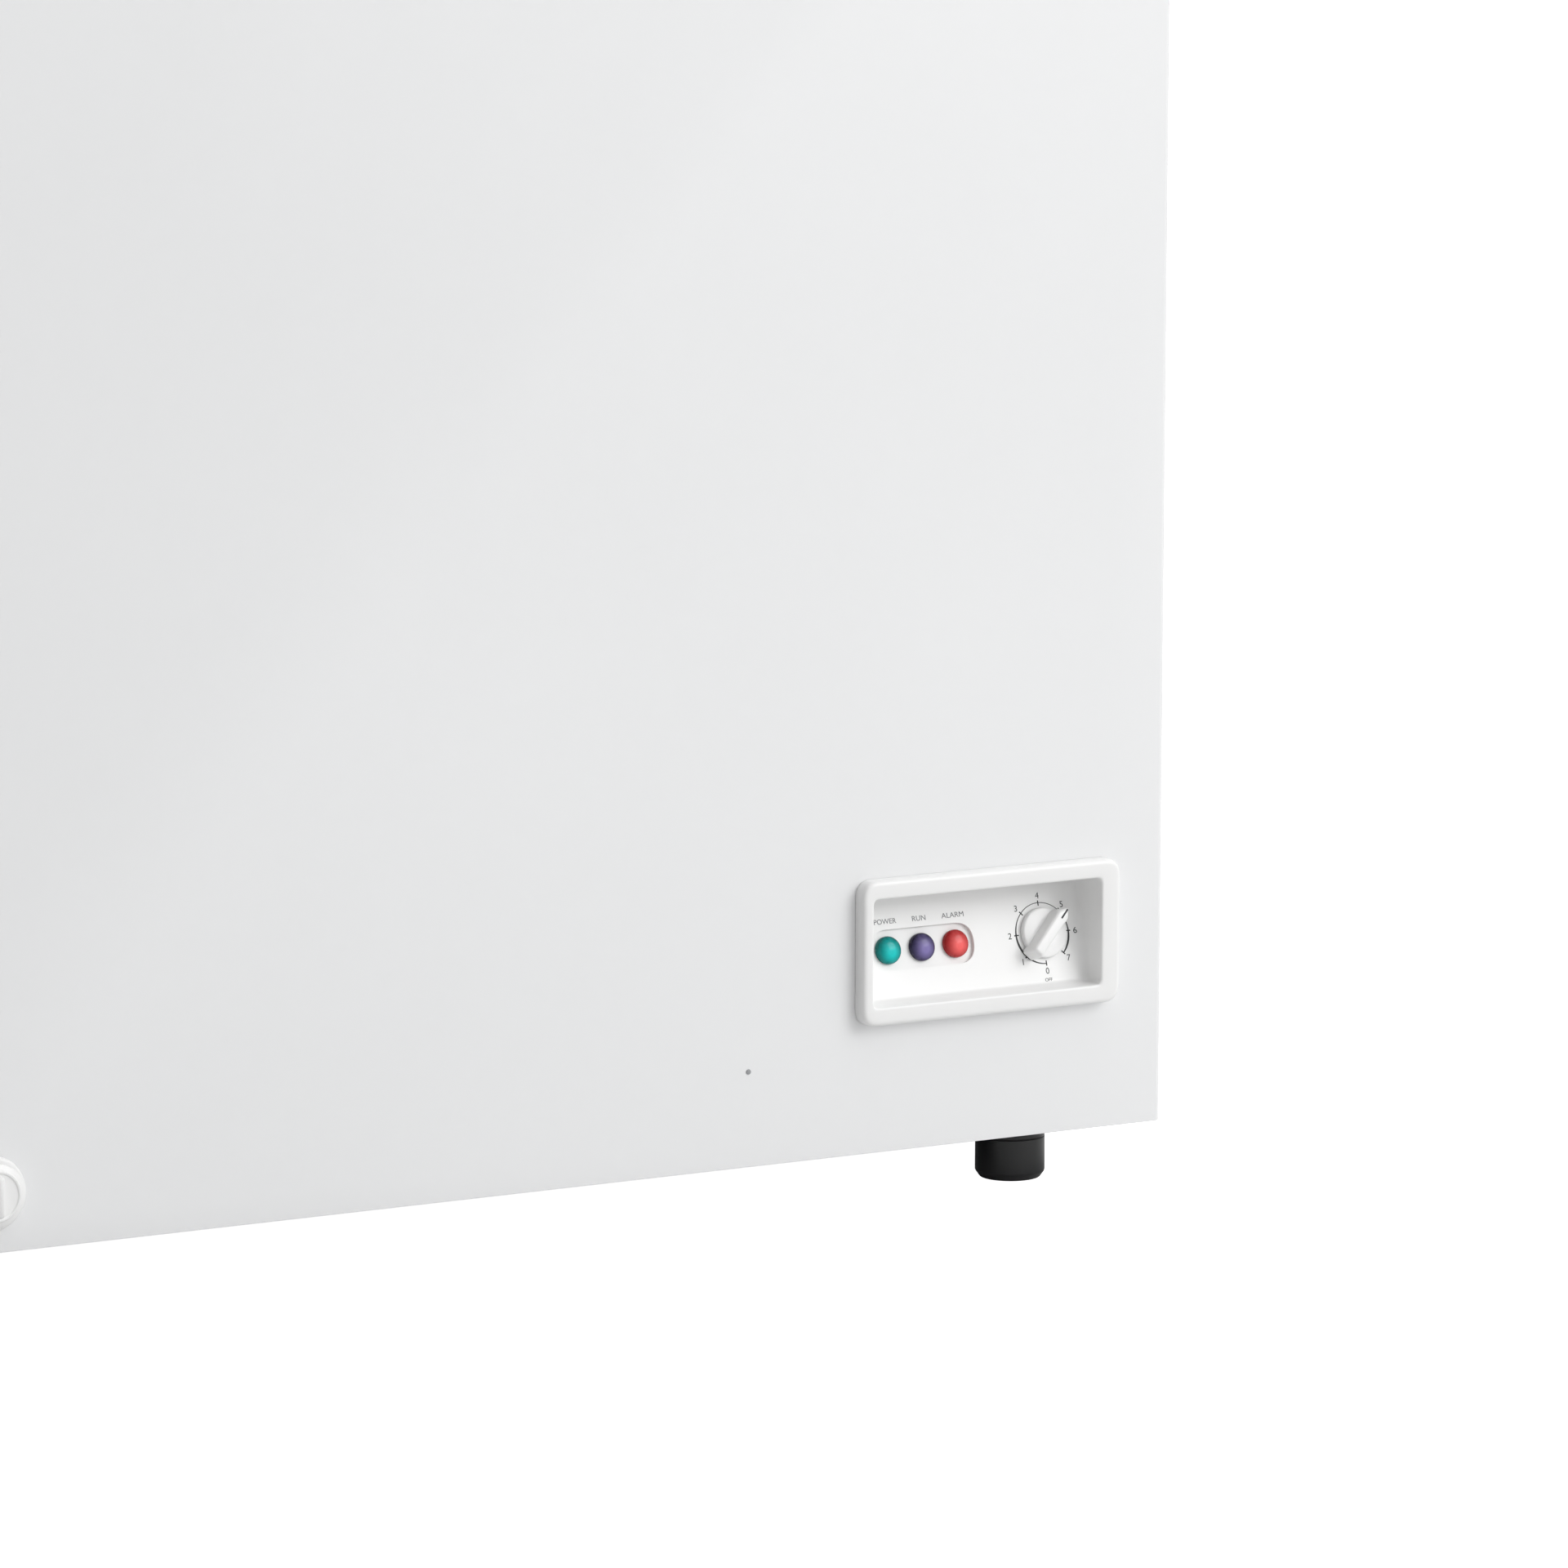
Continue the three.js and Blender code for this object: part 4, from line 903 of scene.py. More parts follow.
def screws(name, spots, facing, body, material, **size):
    """A row of screws at the given points, all facing one way."""
    one = screw(**size)
    row = []
    for i, spot in enumerate(spots):
        row.append(moved(one.copy(), Matrix.Rotation(0.7 * i, 4, "Z"), facing, shift(*spot)))
    place(name, joined(name, row), material, body, slot="zinc_steel", sharp=40)


def spangled_zinc(name, colour, roughness, crystal=90.0):
    """Hot-dip galvanised steel: flat grey crystals that each catch the light a little differently."""
    made = bpy.data.materials.new(name)
    add = node_tree(made)
    spread = add("ShaderNodeTexCoord").outputs["Object"]
    bend = add("ShaderNodeTexNoise", {"Vector": spread}, Scale=crystal * 1.6, Detail=3.0).outputs["Color"]
    wander = add("ShaderNodeMix", {6: spread, 7: bend}, data_type="RGBA")
    wander.inputs["Factor"].default_value = 0.012
    cells = add("ShaderNodeTexVoronoi", {"Vector": wander.outputs[2]}, Scale=crystal)
    shade = add("ShaderNodeSeparateColor", {"Color": cells.outputs["Color"]}).outputs[0]
    dark, light = [channel * 0.86 for channel in colour], [channel * 1.1 for channel in colour]
    scratch = add("ShaderNodeTexNoise", {"Vector": spread}, Scale=1500.0, Detail=2.0).outputs["Fac"]
    surface = {
        "Base Color": shaded(add, shade, dark, light),
        "Roughness": ranged(add, shade, roughness - 0.08, roughness + 0.1),
        "Normal": add("ShaderNodeBump", {"Height": scratch}, Distance=0.012 * MM).outputs[0],
    }
    finished(add, surface, Metallic=0.9)
    return made


galvanised = spangled_zinc("galvanised_sheet", (0.55, 0.56, 0.57), 0.4)
plated_steel = stock("zinc_plated_steel", (0.62, 0.63, 0.64), 0.3, 0.95, mottle=0.08, grain=(2500.0, 0.006))
edge_heights = (60, 200, 340, 480, 620, 760)
edge_spots = [(side * (cabinet_half - 9), back_high.y, z) for side in (-1, 1) for z in edge_heights]
screws("rear_panel_screws", edge_spots, FACE_BACK, "cabinet", plated_steel)


# ---------------------------------------------------------------- service cover
# A pressed plate over the compressor bay, with two banks of louvred slots for the warm air, held by six
# screws so that it can come off for repair.
def louvre(x0, x1, slot_low, slot_high, rise=3.4, wall=0.7):
    """A pressed hood over a slot, open along its lower edge; Z is up the plate and Y stands off it."""
    rings = []
    along, over = 16, 6
    for i in range(along + 1):
        u = (1 - math.cos(math.pi * i / along)) / 2
        lift = rise * math.sqrt(max(0.0, 1 - (2 * u - 1) ** 6))
        outer, inner = [], []
        for j in range(over + 1):
            v = j / over
            height = slot_high + 2.6 - (slot_high - slot_low + 2.6) * v
            curve = math.sin(v * math.pi / 2)
            outer.append(Vector((x0 + (x1 - x0) * u, lift * curve, height)) * MM)
            inner.append(Vector((x0 + (x1 - x0) * u, max(lift * curve - wall, -wall), height)) * MM)
        rings.append(outer + inner[::-1])
    return skin_rings("louvre", rings, caps=(True, True))


slot_rows, slot_pitch, slot_tall, slot_wide = 9, 15, 6, 75
cover_slots, hoods = [], []
for row in range(slot_rows):
    for x in (cover_low.x + 23, cover_low.x + 123):
        z = cover_low.z + 93 + row * slot_pitch
        cover_slots.append(rounded_box(x, x + slot_wide, z, z + slot_tall, 2.5))
        hoods.append(moved(louvre(x - 1.5, x + slot_wide + 1.5, z, z + slot_tall), shift(0, cover_high.y, 0)))
gland_low, gland_high = span("cord_gland")
gland_x, gland_z = (gland_low.x + gland_high.x) / 2, (gland_low.z + gland_high.z) / 2
cover_outline = rounded_box(cover_low.x, cover_high.x, cover_low.z, cover_high.z, 6, 6)
cover_holes = [*cover_slots, circle(gland_x, gland_z, 8)]
cover_plate = outline_plate("cover_plate", cover_outline, cover_high.y - cover_low.y, 0.4, holes=cover_holes)
moved(cover_plate, FACE_BACK, shift(0, cover_low.y, 0))
place(
    "service_cover_plate", joined("service_cover_plate", [cover_plate, *hoods]), galvanised, "cabinet",
    ["service_cover"], "zinc_steel",
)
cover_xs = (cover_low.x + 9, (cover_low.x + cover_high.x) / 2, cover_high.x - 9)
cover_spots = [(x, cover_high.y, z) for x in cover_xs for z in (cover_low.z + 9, cover_high.z - 9)]
screws("service_cover_screws", cover_spots, FACE_BACK, "cabinet", plated_steel)


# ---------------------------------------------------------------- cord gland
# A black rubber bush pushed through the service cover for the mains lead, flanged outside and held by a
# lock ring inside; no lead is fitted in it here.
gland_face = cover_high.y
gland_back = gland_high.y - gland_face
gland_body = [
    (3.6, -7.3, 0.2), (3.6, gland_back, 0.8), (8.2, gland_back, 0.9), (11, gland_back - 1.6, 0.9),
    (11, 0.3, 0.2), (7.6, 0.3, 0), (7.6, -1.6, 0), (7.9, -2.0, 0), (7.9, -2.4, 0), (11, -2.4, 0.3),
    (11, -7.3, 0.6),
]
gland_mesh = turned("cord_gland", fillet(gland_body, 4), 40)
moved(gland_mesh, FACE_BACK, shift(gland_x, gland_face, gland_z))
black_rubber = stock("black_rubber", (0.014, 0.014, 0.015), 0.62, mottle=0.3, grain=(900.0, 0.05))
place("cord_gland_bush", gland_mesh, black_rubber, "cabinet", ["cord_gland"], "black_rubber")


# ---------------------------------------------------------------- base tray, compressor plate and bay wall
# Folded galvanised sheets that make the underside: a tray below the foam, a thicker plate that carries the
# compressor, and the stepped wall between them that keeps the bay apart from the foam.
def keep_node(node, material, edge=0.4, angle=30):
    """A frame piece kept as it is, its edges eased by edge millimetres, with this finish."""
    piece = bpy.data.objects[node]
    if not piece.material_slots:
        piece.data.materials.append(material)
    for held in piece.material_slots:
        held.link = "OBJECT"
        held.material = material
    if edge:
        weld = piece.modifiers.new("weld", "WELD")
        weld.merge_threshold = 0.01 * MM
        ease = piece.modifiers.new("eased_edges", "BEVEL")
        ease.width = edge * MM
        ease.segments = 2
        ease.limit_method = "ANGLE"
        ease.angle_limit = math.radians(angle)
        ease.harden_normals = False
    return piece


for node in ("base_tray", "compressor_plate", "bay_wall"):
    keep_node(node, galvanised, 0.25)


# ---------------------------------------------------------------- lid skin
# A white enamelled steel pressing with a softly rounded rim all round its top and a very slight crown, so
# that the foam behind it can't make it look hollow.
lid_low, lid_high = span("lid_skin")
lid_half = lid_high.x
lid_corner = 20.0
crown, crown_reach = 1.2, 255
rim_end = 24
crown_insets = (rim_end, 45, 80, 130, 190, crown_reach)


def lid_ring(inset, z, corner=None):
    """A ring round the lid's plan, inset from its edge; corner gives the round left at its corners."""
    left = max(lid_corner - inset, 1.5) if corner is None else corner
    return plan_ring(lid_half, lid_low.y, lid_high.y, left + inset, inset, z, steps=8)


def crowned(inset, drop):
    """The height of the lid's top, drop below its highest point, at one inset."""
    reach = min(1.0, inset / crown_reach)
    return lid_high.z - drop - crown * (1 - reach) ** 2.2


def lid_profile(off):
    """Up the side and over the rounded rim, off millimetres inside the skin's outer face."""
    side = [(off, lid_low.z + 0.5, 0), (off, crowned(0, off), 11 - off), (rim_end, crowned(rim_end, off), 0)]
    return fillet(side, 8, closed=False) + [Vector((i, crowned(i, off))) for i in crown_insets[1:]]


outside, inside = lid_profile(0), lid_profile(sheet)
skin_profile = inside[::-1] + [Vector((sheet * 0.7, lid_low.z)), Vector((sheet * 0.3, lid_low.z))] + outside
skin = skin_rings("lid_skin_pressing", [lid_ring(p.x, p.y) for p in skin_profile], caps=(True, True))
place("lid_skin_pressing", skin, white_enamel, "lid", ["lid_skin"], "cabinet_paint")


# ---------------------------------------------------------------- lid foam
# Rigid polyurethane foam poured between the lid's skin and its liner; it fills both and glues them together.
pour_foam = stock("rigid_foam", (0.79, 0.69, 0.42), 0.9, mottle=0.1, grain=(600.0, 0.3))
liner_low, liner_high = span("lid_liner")
foam_gap, liner_thick = 0.3, 2
foam_base = liner_high.z + foam_gap
foam_foot = liner_low.z + liner_thick + foam_gap
pan_middle = 200
foam_corners = [(pan_middle, foam_foot, 0), (40, foam_foot, 4), (38, foam_base, 3)]
foam_corners += [(sheet + foam_gap, foam_base, 0)]
foam_profile = fillet(foam_corners, 4, closed=False) + lid_profile(sheet + foam_gap)[1:]
foam_rings = [lid_ring(p.x, p.y, max(14 - p.x * 0.05, 2) if p.x > rim_end else None) for p in foam_profile]
foam_mesh = skin_rings("lid_foam_fill", foam_rings, caps=(True, True))
place("lid_foam_fill", foam_mesh, pour_foam, "lid", ["lid_foam"], "foam")


# ---------------------------------------------------------------- lid liner
# White polystyrene sheet drawn over a mould: a flat rim for the seal and a raised pan with a shallow field
# inside it, all with the soft corners that drawing leaves.
white_polystyrene = stock(
    "white_polystyrene", (0.86, 0.865, 0.865), 0.22, mottle=0.012, grain=(1800.0, 0.008), waves=(5.0, 0.01)
)
rim_edge = sheet + foam_gap
pan_floor = liner_low.z
rim_under = liner_high.z - liner_thick
drawn = [
    (pan_middle, pan_floor + 1.2, 0), (78, pan_floor + 1.2, 3), (72, pan_floor, 3), (36.5, pan_floor, 4.5),
    (33, rim_under, 4), (rim_edge, rim_under, 0.4), (rim_edge, liner_high.z, 0.4),
    (35, liner_high.z, 2.5), (38.3, pan_floor + liner_thick, 2.5), (72, pan_floor + liner_thick, 0),
    (pan_middle, pan_floor + 3.0, 0),
]
drawn_rings = []
for p in fillet(drawn, 5, closed=False):
    drawn_rings.append(lid_ring(p.x, p.y, 18.0 if p.x > 20 else None))
lid_liner_mesh = skin_rings("lid_liner_sheet", drawn_rings, caps=(True, True))
place("lid_liner_sheet", lid_liner_mesh, white_polystyrene, "lid", ["lid_liner"], "white_plastic")


# ---------------------------------------------------------------- lid gasket
# A hollow seal of soft pale grey vinyl: a root pushed into the lid, two folds that let it stretch, and a
# bulb below with a magnet strip in it that pulls down on to the steel landing.
soft_vinyl = stock(
    "soft_grey_vinyl", (0.6, 0.61, 0.62), 0.55, mottle=0.04, grain=(900.0, 0.03), waves=(9.0, 0.02)
)
seal_low, seal_high = span("lid_gasket")
seal_wide = 19.0
seal_top, seal_foot = seal_high.z, seal_low.z
seal_section = [
    (4, seal_top, 0.5), (15, seal_top, 0.5), (15, seal_top - 1.8, 0.5), (12, seal_top - 3, 0.5),
    (15.8, seal_top - 4.9, 0.6), (12.2, seal_top - 6.4, 0.5), (18.2, seal_top - 7.6, 1.2),
    (seal_wide, seal_foot + 3, 1.2), (18.2, seal_foot, 1.2), (0.8, seal_foot, 1.2),
    (0, seal_foot + 3, 1.2), (0.8, seal_top - 7.6, 1.2), (6.8, seal_top - 6.4, 0.5),
    (3.2, seal_top - 4.9, 0.6), (7, seal_top - 3, 0.5), (4, seal_top - 1.8, 0.5),
]
seal_rings = []
for p in fillet(seal_section, 3):
    seal_rings.append(plan_ring(seal_high.x, seal_low.y, seal_high.y, 18 + 0.47 * p.x, p.x, p.y, steps=8))
seal_mesh = skin_rings("lid_gasket_seal", seal_rings, closed_profile=True)
place("lid_gasket_seal", seal_mesh, soft_vinyl, "lid", ["lid_gasket"], "gasket", sharp=60)


# ---------------------------------------------------------------- lid handle
# A white ABS grip fixed to the middle of the lid's front edge, round on top and hollow below, so that the
# fingers go up into it from under.
grip_low, grip_high = span("lid_handle")


def grip_ring(front, side, back, z, corner=11.0):
    """A level ring round the handle, drawn in from its front, its sides and its back."""
    x, y0, y1 = grip_high.x - side, grip_low.y + front, grip_high.y - back
    corners = [(-x, y0, corner), (x, y0, corner), (x, y1, 0.6), (-x, y1, 0.6)]
    return [Vector((p.x, p.y, z)) * MM for p in fillet(corners, 8)]


grip_levels = [
    (4.6, 4.6, 3.2, 830), (4, 4, 3, 827), (3.6, 3.6, 3, 808), (2.6, 2.8, 2.4, 806.3), (1.6, 1.6, 1.4, 806),
    (0.5, 0.5, 0, 806.2), (0, 0, 0, 807.2), (0, 0, 0, 825), (0.5, 0.3, 0, 829), (1.9, 0.9, 0, 832.6),
    (4.3, 2.2, 0, 835.4), (7.6, 4, 0, 837.1), (11.5, 6.5, 0, 837.9), (15, 9, 0.4, 838),
]
handle_mesh = skin_rings("lid_handle_grip", [grip_ring(*level) for level in grip_levels], caps=(True, True))
place("lid_handle_grip", handle_mesh, white_abs, "lid", ["lid_handle"], "white_plastic", sharp=50)


# ---------------------------------------------------------------- hinges
# Two sprung hinges of folded zinc-plated steel on the back: a channel screwed to the rear panel, and a leaf
# with a round cam screwed to the lid. They turn on a headed pin, and the cam works against the plunger.
pivot = Vector(joint_entry("lid_hinge")["pos_m"]) / MM
hinge_zinc = spangled_zinc("hinge_zinc", (0.6, 0.61, 0.62), 0.36, crystal=260.0)
bright_steel = stock("drawn_bright_steel", (0.6, 0.6, 0.61), 0.26, 1.0, mottle=0.06, grain=(2200.0, 0.006))
acetal = stock("white_acetal", (0.85, 0.85, 0.84), 0.32, mottle=0.02, grain=(1500.0, 0.01))


def wire(name, runs, radius, rounds=3, closed=False):
    """Round wire or tube along each run of points, with flat capped ends."""
    curve = bpy.data.curves.new(name, "CURVE")
    curve.dimensions = "3D"
    curve.bevel_depth = radius * MM
    curve.bevel_resolution = rounds
    curve.use_fill_caps = True
    for points in runs:
        spline = curve.splines.new("POLY")
        spline.points.add(len(points) - 1)
        for target, point in zip(spline.points, points):
            target.co = (*[value * MM for value in point], 1)
        spline.use_cyclic_u = closed
    return baked(set_out(name, curve))


def coiled(centre, radius, low, high, turns, start=0.0, steps=32):
    """The points of a helix that rises from low to high."""
    points = []
    for i in range(turns * steps + 1):
        angle = start + math.tau * i / steps
        rise = low + (high - low) * i / (turns * steps)
        points.append((centre[0] + radius * math.cos(angle), centre[1] + radius * math.sin(angle), rise))
    return points


for side in ("left", "right"):
    base_low, base_high = span(f"hinge_base_{side}")
    hinge_x = (base_low.x + base_high.x) / 2
    keep_node(f"hinge_base_{side}", hinge_zinc, 0.35, 40)
    keep_node(f"hinge_arm_{side}", hinge_zinc, 0.5, 40)
    pin_low, pin_high = span(f"hinge_pin_{side}")
    shank, pin_head_radius, from_left = 4.0, 6.5, pin_low.x - hinge_x
    pin_corners = [
        (0, from_left, 0), (shank, from_left, 1.0), (shank, 16.3, 0.3), (pin_head_radius, 16.3, 0.3),
        (pin_head_radius, 17.9, 1.2), (0, 19, 0),
    ]
    pin = turned("hinge_pin", fillet(pin_corners, 5, closed=False), 36)
    moved(pin, FACE_RIGHT, shift(hinge_x, pivot.y, pivot.z))
    place(f"hinge_pin_{side}_turned", pin, bright_steel, "cabinet", [f"hinge_pin_{side}"], "bare_steel")
    low, high = span(f"hinge_plunger_{side}")
    spring_y = (low.y + high.y) / 2
    stalk_radius, cap_radius, cap_foot = 5, 11, high.z - 6
    plunger_corners = [
        (0, low.z, 0), (stalk_radius, low.z, 1.2), (stalk_radius, cap_foot, 0.6), (cap_radius, cap_foot, 0.6),
        (cap_radius, high.z, 1.2), (0, high.z, 0),
    ]
    plunger = turned("plunger", fillet(plunger_corners, 4, closed=False), 40)
    moved(plunger, shift(hinge_x, spring_y, 0))
    plunger_node, plunger_body = f"hinge_plunger_{side}", f"plunger_{side}"
    place(plunger_node + "_moulding", plunger, acetal, plunger_body, [plunger_node], "white_plastic")
    coil_low, coil_high = span(f"hinge_spring_{side}")
    spring_wire, spring_turns = 1.2, 9
    coil_radius = (coil_high.x - coil_low.x) / 2 - spring_wire
    coil_foot, coil_head = coil_low.z + spring_wire, coil_high.z - spring_wire
    spring_points = coiled((hinge_x, spring_y), coil_radius, coil_foot, coil_head, spring_turns)
    spring = place(
        f"hinge_spring_{side}_coil", wire("spring", [spring_points], spring_wire), bright_steel, None,
        [f"hinge_spring_{side}"], "bare_steel",
    )
    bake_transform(spring)
    plate_face = base_low.y + 2.0
    plate_spots = [(hinge_x + dx, plate_face, z) for dx in (-22, 22) for z in (base_low.z + 14, 718, 772)]
    screws(f"hinge_base_{side}_screws", plate_spots, FACE_BACK, "cabinet", plated_steel, head=3.4, tall=1.9)
    leaf_face = lid_high.y + 3.4
    leaf_spots = [(hinge_x + dx, leaf_face, z) for dx in (-20, 20) for z in (819, 838)]
    screws(f"hinge_arm_{side}_screws", leaf_spots, FACE_BACK, "lid", plated_steel, head=3.4, tall=1.9)


# ---------------------------------------------------------------- rim trim
# A white moulded frame that snaps over the gap between wrap and liner, so that no warm steel meets the cold
# tub; it is hollow below, and its inner lip turns down into the mouth.
trim_low, trim_high = span("rim_trim")
trim_wide = trim_high.x - (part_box("inner_liner")[1].x / MM - 15.3)
plate_foot = trim_high.z - 10.7
trim_section = [
    (0, plate_foot, 0.4), (0, trim_high.z, 1.6), (9, trim_high.z, 0.5), (9.6, trim_high.z - 0.7, 0.4),
    (11.4, trim_high.z - 0.7, 0.4), (12, trim_high.z, 0.5), (trim_wide, trim_high.z, 5.5),
    (trim_wide, trim_low.z, 0.8), (trim_wide - 2, trim_low.z, 0.8), (trim_wide - 2, trim_high.z - 3, 2),
    (2, trim_high.z - 3, 0.8), (2, plate_foot, 0.4),
]
trim_rings = []
for p in fillet(trim_section, 5):
    corner = 3 + 0.447 * p.x
    trim_rings.append(plan_ring(trim_high.x, trim_low.y, trim_high.y, corner + p.x, p.x, p.y, steps=8))
trim_mesh = skin_rings("rim_trim_moulding", trim_rings, closed_profile=True)
place("rim_trim_moulding", trim_mesh, white_polystyrene, "cabinet", ["rim_trim"], "white_plastic")


# ---------------------------------------------------------------- inner liner
# The cold tub: one skin of embossed aluminium, enamelled pale grey-white, with rounded corners, a raised
# shelf on the right over the compressor bay, a hole for the defrost drain and a flat rim to hang from.
stucco_enamel = stock(
    "embossed_white_aluminium", (0.8, 0.81, 0.82), 0.3, mottle=0.02, grain=(330.0, 0.45), waves=(4.0, 0.02),
    **{"Coat Weight": 0.2},
)
tub_half_x, tub_half_y, tub_floor, tub_top = 352.0, 202.0, 112.0, 779.0
tub_corner, step_x, step_top = 22.0, 116.0, 352.0
tub_skin = 0.9


def tub_ring(inset, z):
    """A level ring round the tub's inside, moved inwards by inset."""
    return plan_ring(tub_half_x, -tub_half_y, tub_half_y, tub_corner, inset, z, steps=9)


tub_profile = fillet([(60, tub_floor, 0), (0, tub_floor, 15), (0, tub_top, 0)], 6, closed=False)
tub_space = skin_rings("tub_space", [tub_ring(p.x, p.y) for p in tub_profile], caps=(True, True))
below_floor = tub_floor - 0.5
step_outline = fillet(
    [
        (step_x - 60, 90, 0), (step_x - 60, below_floor, 0), (step_x, below_floor, 14), (step_x, step_top, 3),
        (420, step_top, 0), (420, 90, 0),
    ],
    6,
)
step_rings = [[Vector((p.x, y, p.y)) * MM for p in step_outline] for y in (-260, 260)]
tub_space = carved(tub_space, welded(skin_rings("step", step_rings, caps=(True, True))))


def sheet_over(mesh, top, thickness):
    """The mesh's skin without the face that closes it at height top, thickened outwards."""
    built = bmesh.new()
    built.from_mesh(mesh)
    lids = [face for face in built.faces if all(abs(v.co.z - top * MM) < 1e-6 for v in face.verts)]
    bmesh.ops.delete(built, geom=lids, context="FACES")
    built.to_mesh(mesh)
    built.free()
    holder = set_out("sheet", mesh)
    thick = holder.modifiers.new("thick", "SOLIDIFY")
    thick.thickness = thickness * MM
    thick.offset = 1.0
    thick.use_even_offset = True
    return baked(holder)


tub = sheet_over(tub_space, tub_top, tub_skin)
floor_hole = outline_plate("floor_hole", circle(drain_x, elbow_y, drain_hole_radius), 30, 0.0)
tub = carved(tub, moved(floor_hole, shift(0, 0, tub_floor - 15)))
flange_wide, flange_foot = 13.0, tub_top - tub_skin
flange_section = [(0, flange_foot), (0, tub_top), (flange_wide, tub_top), (flange_wide, flange_foot)]
flange_rings = [tub_ring(-inset, z) for inset, z in flange_section]
flange = skin_rings("flange", flange_rings, closed_profile=True)
tub = joined("inner_liner_tub", [tub, flange])
place("inner_liner_tub", tub, stucco_enamel, "cabinet", ["inner_liner"], "liner_sheet")


# ---------------------------------------------------------------- liner plug
# A soft black rubber stopper in the floor of the tub, pulled out by its waisted grip to let melt water go.
plug_low, plug_high = span("liner_plug")
seat = tub_floor + 0.3
stopper = [
    (0, plug_low.z, 0), (8.0, plug_low.z, 1.2), (8.9, seat - 2, 0.5), (8.9, seat, 0.3), (17, seat, 0.8),
    (16.6, seat + 2.5, 1.2), (7, seat + 3.6, 2.5), (4.2, seat + 8, 2.5), (7.4, seat + 12, 2.5),
    (5.4, plug_high.z - 0.6, 2), (0, plug_high.z, 0),
]
stopper_mesh = turned("liner_plug", fillet(stopper, 6, closed=False), 48)
moved(stopper_mesh, shift(drain_x, elbow_y, 0))
place("liner_plug_stopper", stopper_mesh, black_rubber, "plug", ["liner_plug"], "black_rubber")


# ---------------------------------------------------------------- basket
# Steel wire welded into a box and dipped in white plastic: a thick rim wire, thinner uprights that run down
# and under, bands to keep them apart, and four broad hooks that hang on the rim trim and slide along it.
dipped_wire = stock("white_dipped_wire", (0.82, 0.825, 0.83), 0.38, mottle=0.03, grain=(700.0, 0.03))
crate_low, crate_high = span("basket")
crate_y = 192.0
rim_wire, thin_wire, hook_wire = 2.4, 1.25, 1.25
crate_rim = crate_high.z - 7 - rim_wire
crate_floor = crate_low.z + thin_wire
inner_x0, inner_x1 = crate_low.x + rim_wire, crate_high.x - rim_wire
inner_y = crate_y - rim_wire
bend_radius = 16.0
pitch = 24.5


def loop(x0, x1, y, z, radius):
    """One closed wire round the basket at height z."""
    return [(*point, z) for point in rounded_box(x0, x1, -y, y, radius, 8)]


def cradle(a0, a1, top, floor, fixed, along_x):
    """One wire down a side, under the floor and up the other side, in one upright plane."""
    corners = [(a0, top, 0), (a0, floor, bend_radius), (a1, floor, bend_radius), (a1, top, 0)]
    path = fillet(corners, 8, closed=False)
    return [(p.x, fixed, p.y) if along_x else (fixed, p.x, p.y) for p in path]


def spaced(first, last):
    """Even places from first to last, as near a pitch apart as they come out."""
    count = round((last - first) / pitch)
    return [first + (last - first) * i / count for i in range(count + 1)]


thin_y = inner_y - thin_wire
thin_x0, thin_x1 = inner_x0 + thin_wire, inner_x1 - thin_wire
upper_floor = crate_floor + 2 * thin_wire
thin_runs = []
for x in spaced(inner_x0 + bend_radius, inner_x1 - bend_radius):
    thin_runs.append(cradle(-thin_y, thin_y, crate_rim, upper_floor, x, False))
for y in spaced(-inner_y + bend_radius, inner_y - bend_radius):
    thin_runs.append(cradle(thin_x0, thin_x1, crate_rim, crate_floor, y, True))
band_heights = [crate_floor + 34 + 42 * i for i in range(4)]
bands = [loop(inner_x0 - 1, inner_x1 + 1, inner_y + 1, z, bend_radius) for z in band_heights]
hook_runs = []
hook_top = crate_high.z - hook_wire
hook_reach = crate_high.y - hook_wire
for x in (crate_low.x + 20 + hook_wire, crate_high.x - 40 + hook_wire):
    for face in (-1, 1):
        up, over = face * (inner_y - 0.4), face * hook_reach
        width = 20 - 2 * hook_wire
        rise = fillet([(up, crate_rim - 26, 0), (up, hook_top, 3), (over, hook_top, 0)], 5, closed=False)
        near = [(x, p.x, p.y) for p in rise]
        far = [(x + width, p.x, p.y) for p in rise][::-1]
        hook_runs.append(near + far)
basket_wires = [
    wire("painted_rim_shade", [loop(inner_x0, inner_x1, inner_y, crate_rim, bend_radius)], rim_wire, 4, closed=True),
    wire("thin", thin_runs, thin_wire, 2),
    wire("bands", bands, thin_wire, 2, closed=True),
    wire("hooks", hook_runs, hook_wire, 3),
]
basket_mesh = joined("basket_wirework", basket_wires)
place("basket_wirework", basket_mesh, dipped_wire, "basket", ["basket"], "basket_wire", sharp=60)


# ---------------------------------------------------------------- compressor
# A sealed reciprocating compressor: two deep-drawn shells, oval in plan, welded round the middle and painted
# black, on a foot plate that stands on four rubber grommets; the pump itself hangs inside.
shell_black = stock(
    "black_baked_paint", (0.012, 0.012, 0.014), 0.34, 0.1, mottle=0.25, grain=(500.0, 0.05),
    **{"Coat Weight": 0.3},
)
dome_low, dome_high = span("compressor_dome")
pump_centre = (dome_low + dome_high) / 2
shell_radius = (dome_high.x - dome_low.x) / 2 - 1.5
stretch = (dome_high.y - dome_low.y) / (dome_high.x - dome_low.x)
seam_z, cup_foot, shell_top = dome_low.z - 0.3, 49.0, dome_high.z
oval = Matrix.Translation((pump_centre.x * MM, pump_centre.y * MM, 0)) @ Matrix.Diagonal((1, stretch, 1, 1))
